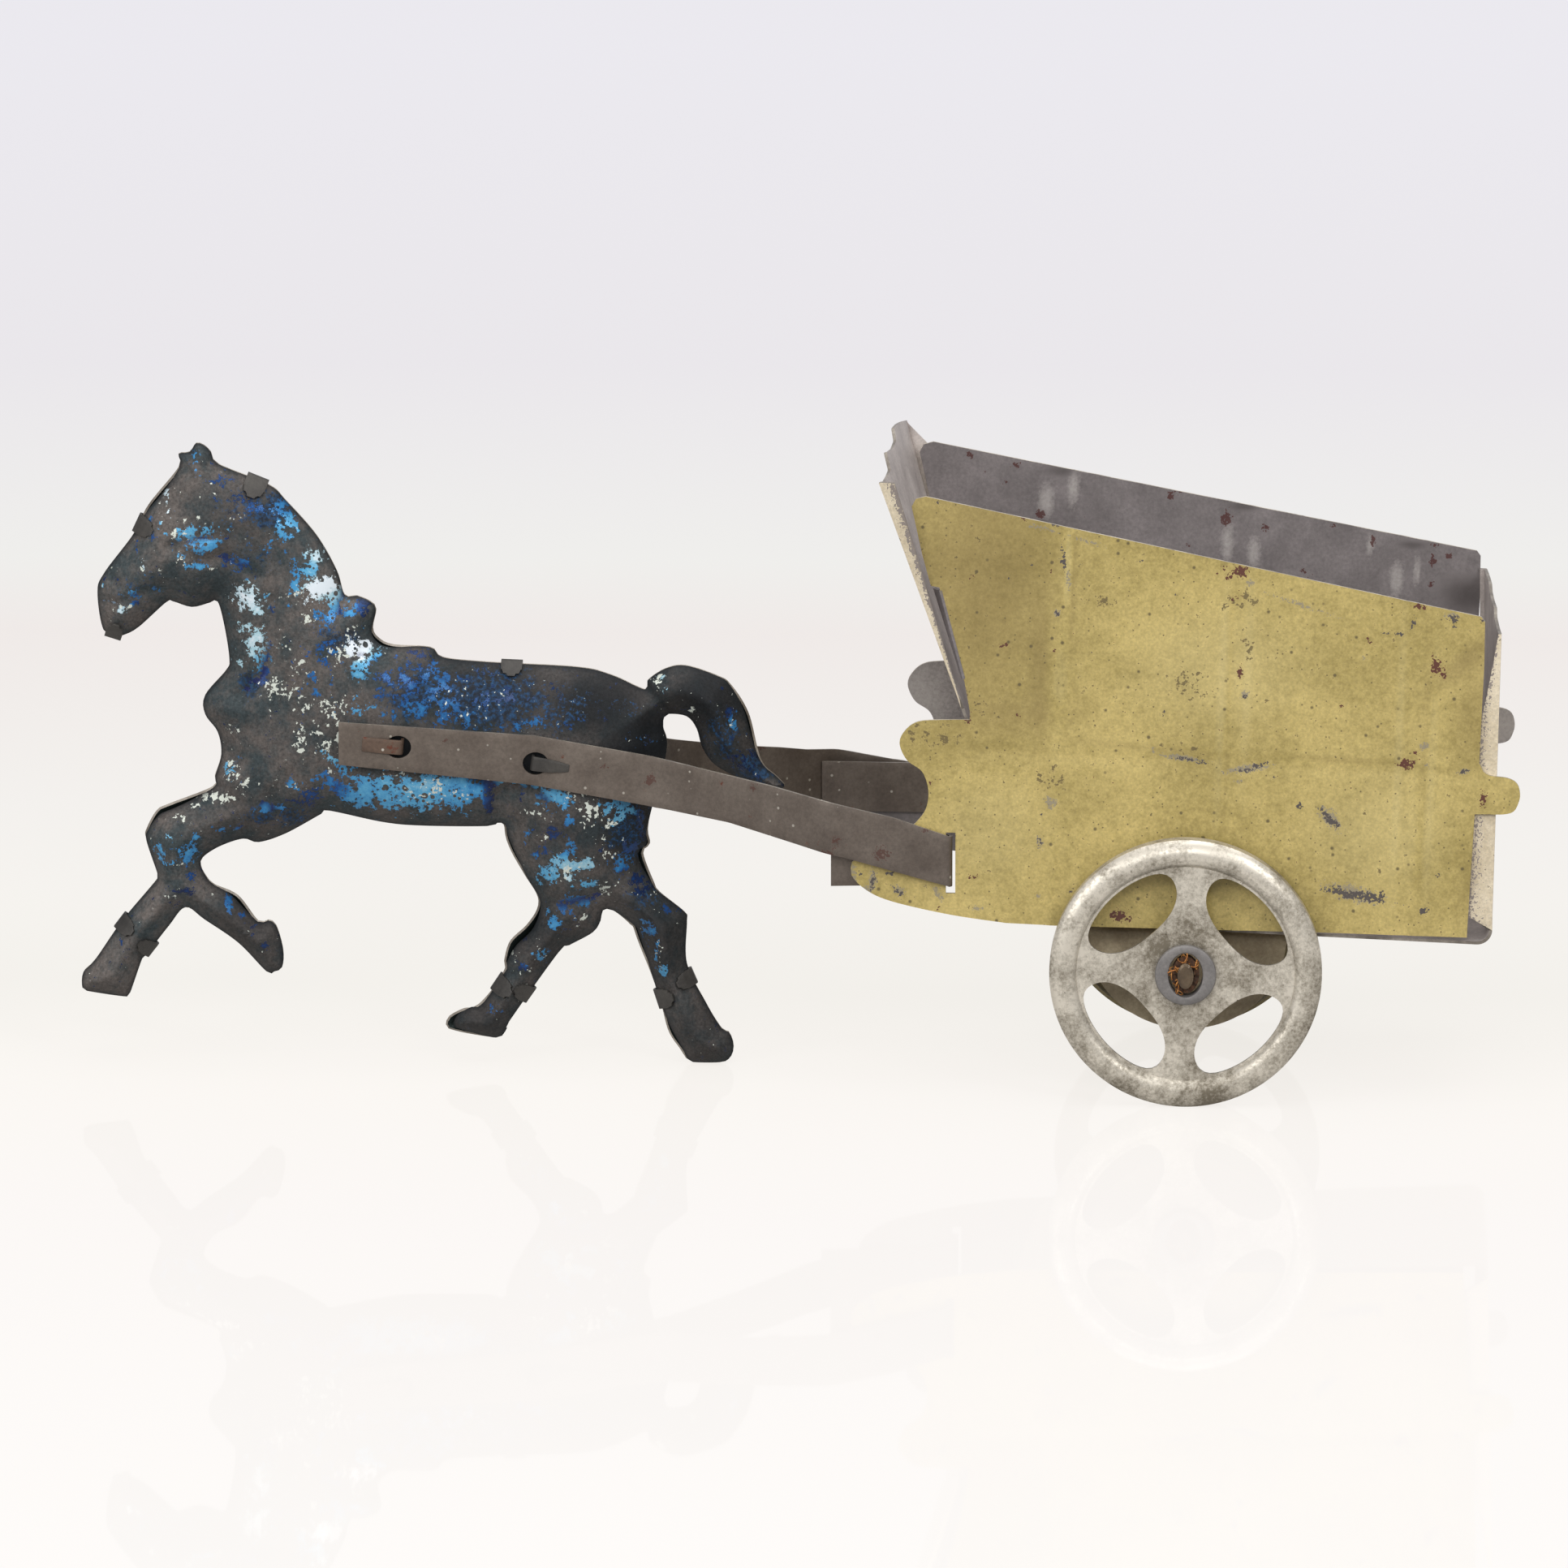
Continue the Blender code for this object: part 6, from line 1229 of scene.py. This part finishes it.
def cart_tub():
    """Front board, floor and tail board bent from one strip, bare inside and cream outside."""
    top_x = board_front_x - (board_top_z - floor_middle) * board_lean
    path = finer(rounded_path([(top_x, board_top_z), (board_front_x, floor_middle, 1.2 * mm),
                               (tail_x, floor_middle, 1.2 * mm), (tail_x, tail_top_z)]), 1.3 * mm)
    columns = 72
    rows = []
    flanges = []
    for place in path:
        at_front = place.x < board_front_x
        at_rear = place.x > tail_x - 0.01 * mm and place.y > floor_middle + 2.4 * mm
        half = side_half_spacing(place.x) - tin - seat_gap
        flange = far_flange = drop = torn = 0.0
        flare = (place.y - board_flare_start) / (board_top_z - board_flare_start)
        up = (place.y - floor_middle) / (tail_top_z - floor_middle)
        if at_front:
            torn = max(0.0, 1 - (board_top_z - place.y) / (4.5 * mm))
            drop = 2.0 * mm * torn
        if at_front and flare > 0:
            half += (board_top_half - half) * flare
            flange = far_flange = board_flange * flare
        if at_rear:
            torn = 0.5 * max(0.0, 1 - (tail_top_z - place.y) / (2.5 * mm))
            flange = -(1.3 + 1.1 * max(0.0, 1 - 1.2 * up)) * mm * min(1.0, 3.2 * (1.04 - up))
            far_flange = -0.5 * mm
        row = []
        for k in range(columns + 1):
            share = 2 * k / columns - 1
            lift = along_line(BOARD_CREST, share) * torn
            x = place.x
            if at_front:
                x += 1.4 * mm * max(0.0, flare) * (share + 1) / 2 - lift * board_lean
            if at_rear:
                x -= up * (0.35 + 0.9 * (share + 1) / 2) * mm
            row.append(Vector((x, share * half, place.y + lift)))
        near = [row[0] + Vector((flange * s, 0, 0)) for s in (1.0, 0.5, 0.12)]
        far = [row[-1] + Vector((far_flange * s + drop * board_lean * s, 0, -drop * s)) for s in (0.12, 0.5, 1.0)]
        rows.append(near + row + far)
        flanges.append(flange)
    item = sheet("bent_tub", rows, [board_tin, cream_paint, edge_tin])
    bare = [1.0, 0.5] + [0.0] * (columns + 5)
    paint_float(item, "worn", [share if flange > 0 else 0.72 * share for flange in flanges for share in bare])
    start_edit(item)
    bpy.ops.mesh.remove_doubles(threshold=0.01 * mm)
    end_edit()
    face_towards(item, Vector((0, 0, 1)), 0.95)
    add_modifier(item, 'SOLIDIFY', thickness=tin, offset=0.0, material_offset=1, material_offset_rim=2)
    settle(item, cart_place, 40)
    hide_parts("cart_tub")
    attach(item, "cart")


def bearer():
    """The U under the floor: two half-round ears, with its folds rounded."""
    top = 3.30 * mm - seat_gap - bearer_wall / 2
    half = 12.0 * mm - bearer_wall / 2
    radius = 8.9 * mm
    across = finer(rounded_path([(-half, -1), (-half, 0.0, 0.6 * mm), (half, 0.0, 0.6 * mm), (half, -1)]), 3 * mm)
    section = [p for p in across if p.y > -0.9 * mm]
    rows = []
    for x in np.linspace(-radius, radius, 41):
        drop = sqrt(max(0.0, 1 - (x / radius) ** 2)) * (radius - bearer_wall)
        lows = [Vector((x, -half, top - bearer_wall - drop * s)) for s in (1.0, 0.66, 0.33)]
        highs = [Vector((x, half, top - bearer_wall - drop * s)) for s in (0.33, 0.66, 1.0)]
        rows.append(lows + [Vector((x, p.x, top + p.y)) for p in section] + highs)
    item = sheet("axle_bearer_bent", rows, [bearer_tin, edge_tin])
    start_edit(item)
    bpy.ops.mesh.remove_doubles(threshold=0.005 * mm)
    outward()
    end_edit()
    add_modifier(item, 'SOLIDIFY', thickness=bearer_wall, offset=0.0, material_offset_rim=1)
    bpy.ops.mesh.primitive_cylinder_add(vertices=48, radius=0.8 * mm, depth=30 * mm, rotation=(pi / 2, 0, 0))
    cutter = bpy.context.active_object
    cut(item, cutter)
    bpy.data.objects.remove(cutter)
    settle(item, cart_place, 35)
    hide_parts("axle_bearer")
    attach(item, "cart")


for word, side in SIDES:
    cart_side(word, side)
cart_tub()
bearer()


# Wheels

def window_outline():
    """A rounded window: the smaller of an oval and the rim's circle, softly joined."""
    outer = rim_inside - 0.20 * mm
    middle = 8.2 * mm
    points = []
    for k in range(72):
        angle = 2 * pi * k / 72
        up, along = abs(cos(angle)) / (3.55 * mm), abs(sin(angle)) / (4.8 * mm)
        oval = (up ** 2.5 + along ** 2.5) ** (-1 / 2.5)
        circle = sqrt(outer ** 2 - (middle * sin(angle)) ** 2) - middle * cos(angle)
        reach = (oval ** -7 + circle ** -7) ** (-1 / 7)
        points.append((middle + reach * cos(angle), reach * sin(angle)))
    return points


def crown(share):
    """The domed rim's face at a share of its width."""
    return web_y + rim_crown * sin(pi * share ** 0.85) ** 0.85


def wheel(word, side):
    """A disc stamped with four windows inside a domed rim, whose wall is turned back."""
    hole = collar_tube + seat_gap
    skin = [(hole, web_y), (0.5 * (hole + rim_inside), web_y), (rim_inside, web_y)]
    skin += [(rim_inside + rim_width * (k / 12), crown(k / 12)) for k in range(1, 12)]
    skin += [(wheel_radius, web_y - 0.05 * mm), (wheel_radius, wheel_inner)]
    back = [(wheel_radius - tin, wheel_inner), (wheel_radius - tin, web_y - 0.15 * mm)]
    back += [(rim_inside + (rim_width - tin) * (k / 12), crown(k / 12) - tin) for k in range(10, 0, -3)]
    back += [(rim_inside, web_y - tin), (hole, web_y - tin)]
    item = turned("wheel_disc_" + word, [(r, r, side * y) for r, y in skin + back], [wheel_tin, cut_tin])
    bpy.ops.mesh.primitive_circle_add(vertices=72, radius=1, fill_type='NGON')
    cutter = named(bpy.context.active_object, "window_cutter", [cut_tin])
    set_places(cutter, [(r, side * (web_y - 1.2 * mm), t) for r, t in window_outline()])
    start_edit(cutter)
    bpy.ops.mesh.extrude_region_move()
    bpy.ops.transform.translate(value=(0, side * 2.4 * mm, 0))
    outward()
    end_edit()
    for k in range(4):
        cutter.rotation_euler = (0, radians(4) - pi / 2 * (k + 0.5), 0)
        cut(item, cutter, material_mode='TRANSFER')
    bpy.data.objects.remove(cutter)
    item.data.materials.append(golden_tin)
    for face in item.data.polygons:
        if face.normal.y * side < -0.3 and face.material_index == 0:
            face.material_index = 2
    settle(item, wheel_place, 30)
    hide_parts("wheel_" + word)
    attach(item, "wheel_" + word)


def hub_collar(word, side):
    """The clinched bush round the axle: a flat face with a softly worn edge and an oval hole."""
    wide, tall = 1.5 * mm, 1.95 * mm
    front = web_y + seat_gap
    face = front + 0.40 * mm
    back = web_y - tin - seat_gap
    lip = back - 0.35 * mm
    rings = [(collar_radius - 0.1 * mm, lip), (collar_radius, lip + 0.12 * mm), (collar_radius - 0.08 * mm, back),
             (collar_tube, back), (collar_tube, front), (collar_radius, front), (collar_radius, face - 0.16 * mm),
             (collar_radius - 0.05 * mm, face - 0.06 * mm), (collar_radius - 0.17 * mm, face)]
    ovals = [(0.2 * mm, face), (0.06 * mm, face - 0.06 * mm), (0.0, face - 0.2 * mm)]
    stations = [(wide, tall, lip)] + [(r, r, y) for r, y in rings] + [(wide + r, tall + r, y) for r, y in ovals]
    item = turned("clinched_collar_" + word, [(w, t, side * y) for w, t, y in stations], [hub_tin], 96)
    settle(item, wheel_place, 30)
    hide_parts("hub_collar_" + word)
    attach(item, "wheel_" + word)


def packing(word, side):
    """A ring of teased fibre between the axle's end and the collar's oval hole."""
    back = web_y - tin - seat_gap
    front = web_y + seat_gap + 0.10 * mm
    hole = 0.80 * mm
    wide, tall = 1.2 * mm, 1.65 * mm
    stations = [(hole, hole, side * back)]
    stations += [(wide, tall, side * (back + (front - back) * s)) for s in (0.0, 0.35, 0.7, 1.0)]
    stations += [(0.5 * (hole + wide), 0.5 * (hole + tall), side * (front + 0.06 * mm)),
                 (hole, hole, side * (front - 0.02 * mm)), (hole, hole, side * (0.5 * (front + back)))]
    item = turned("fibre_packing_" + word, stations, [packed_fibre], 72)
    places = get_places(item)
    angle = np.arctan2(places[:, 2], places[:, 0])
    ripple = 0.07 * mm * (np.sin(9 * angle) + np.sin(17 * angle + 1.3)) * (np.abs(places[:, 1]) > front - 0.2 * mm)
    places[:, 1] += side * ripple * 0.8
    set_places(item, places)
    bpy.ops.mesh.primitive_torus_add(major_radius=0.42 * mm, minor_radius=0.055 * mm, major_segments=20,
                                     minor_segments=6)
    loop = named(bpy.context.active_object, "fibre_loop", [teased_fibre])
    loops = []
    for k in range(18):
        turn = pi * (0.25 + 1.15 * k / 17) + 0.4 * sin(5.0 * k)
        away = 0.95 + 0.30 * sin(2.3 * k)
        copy = loop.copy()
        copy.data = loop.data.copy()
        bpy.context.collection.objects.link(copy)
        spot = (away * 1.05 * mm * cos(turn), side * (front + 0.02 * mm), away * 1.4 * mm * sin(turn))
        copy.matrix_world = (Matrix.Translation(spot) @ Matrix.Rotation(1.7 * k, 4, 'Y')
                             @ Matrix.Rotation(0.5 + 0.4 * sin(3.1 * k), 4, 'X')
                             @ Matrix.Scale(0.95 + 0.35 * sin(2.9 * k), 4)
                             @ Matrix.Diagonal((1.0, 0.6 + 0.3 * cos(1.9 * k), 1.0, 1.0)))
        copy.data.transform(copy.matrix_world)
        copy.matrix_world = Matrix.Identity(4)
        loops.append(copy)
    bpy.data.objects.remove(loop)
    join([item] + loops)
    settle(item, wheel_place, 60)
    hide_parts("fibre_bush_" + word)
    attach(item, "wheel_" + word)


for word, side in SIDES:
    wheel(word, side)
    hub_collar(word, side)
    packing(word, side)
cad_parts["axle"].data.materials.clear()
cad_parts["axle"].data.materials.append(end_steel)


# Floor, light and camera

def pale_floor():
    """A glossy white table top that fades to a pale grey backdrop."""
    material = bpy.data.materials.new("gloss_white_board")
    material.use_nodes = True
    tree = material.node_tree
    tree.nodes.remove(tree.nodes["Principled BSDF"])
    here = add_node(tree, 'ShaderNodeTexCoord').outputs["Object"]
    parts = add_node(tree, 'ShaderNodeSeparateXYZ', [here])
    path = add_node(tree, 'ShaderNodeLightPath')
    some = add_node(tree, 'ShaderNodeMath', (path.outputs["Is Camera Ray"], path.outputs["Is Glossy Ray"]),
                    operation='MAXIMUM')
    seen = add_node(tree, 'ShaderNodeMath', (some, path.outputs["Is Transmission Ray"]), operation='MAXIMUM')
    near, far = FLOOR_TONES_AND_SHADOW[0][0], FLOOR_TONES_AND_SHADOW[-1][0]
    # Tone from near to far, with a painted shadow band across the floor where the toy stands
    depth = add_node(tree, 'ShaderNodeMapRange', (parts.outputs["Y"], near, far))
    tint = add_node(tree, 'ShaderNodeValToRGB', [depth])
    stops = tint.color_ramp.elements
    stops[0].position, stops[0].color = 0.0, colour(FLOOR_TONES_AND_SHADOW[0][1])
    stops[1].position, stops[1].color = 1.0, colour(FLOOR_TONES_AND_SHADOW[-1][1])
    for y, code in FLOOR_TONES_AND_SHADOW[1:-1]:
        stops.new((y - near) / (far - near)).color = colour(code)
    own = add_node(tree, 'ShaderNodeMath', (seen, 0.955), operation='MULTIPLY')
    glow = add_node(tree, 'ShaderNodeEmission', {"Color": tint, "Strength": own})
    matt = add_node(tree, 'ShaderNodeBsdfDiffuse', {"Color": (0.07, 0.07, 0.07, 1)})
    lit = add_node(tree, 'ShaderNodeAddShader', (glow, matt))
    mirror = add_node(tree, 'ShaderNodeBsdfGlossy', {"Color": (1, 1, 1, 1), "Roughness": 0.02})
    both = add_node(tree, 'ShaderNodeMixShader', (0.06, lit, mirror))
    connect(tree, tree.nodes["Material Output"], {"Surface": both})
    bpy.ops.mesh.primitive_plane_add(size=1)
    floor = named(bpy.context.active_object, "table_top", [material])
    floor.data.transform(Matrix.Diagonal((8, 8, 1, 1)))


def area_light(name, place, size, power):
    """A soft box that looks at the middle of the toy."""
    bpy.ops.object.light_add(type='AREA', location=place)
    light = bpy.context.active_object
    light.name = name
    light.data.shape = 'RECTANGLE'
    light.data.size, light.data.size_y = size
    light.data.energy = power
    light.rotation_mode = 'QUATERNION'
    light.rotation_quaternion = (Vector((0, 0, 0.02)) - Vector(place)).to_track_quat('-Z', 'Y')


pale_floor()
world = bpy.data.worlds.new("white_tent")
bpy.context.scene.world = world
world.use_nodes = True
background = world.node_tree.nodes["Background"]
background.inputs["Color"].default_value = colour("#eeedf0")
background.inputs["Strength"].default_value = 0.62
area_light("overhead_softbox", (0.05, -0.10, 0.75), (0.7, 0.6), 3.5)
area_light("left_softbox", (-0.75, -0.75, 0.45), (0.5, 0.5), 3.8)
area_light("front_softbox", (-0.10, -1.30, 0.70), (0.5, 0.4), 4.2)
area_light("right_softbox", (0.50, -0.65, 0.52), (0.22, 0.22), 2.2)

bpy.ops.object.camera_add(location=(0.04246, -1.24915, 0.28172))
camera = bpy.context.active_object
camera.name = "photo_camera"
camera.rotation_mode = 'QUATERNION'
aim = Vector((-0.001245, 0, 0.025262)) - camera.location
camera.rotation_quaternion = aim.to_track_quat('-Z', 'Y')
camera.data.lens = 329.0
camera.data.sensor_width = 36
camera.data.clip_end = 20
bpy.context.scene.camera = camera
bpy.context.scene.view_settings.view_transform = 'Standard'
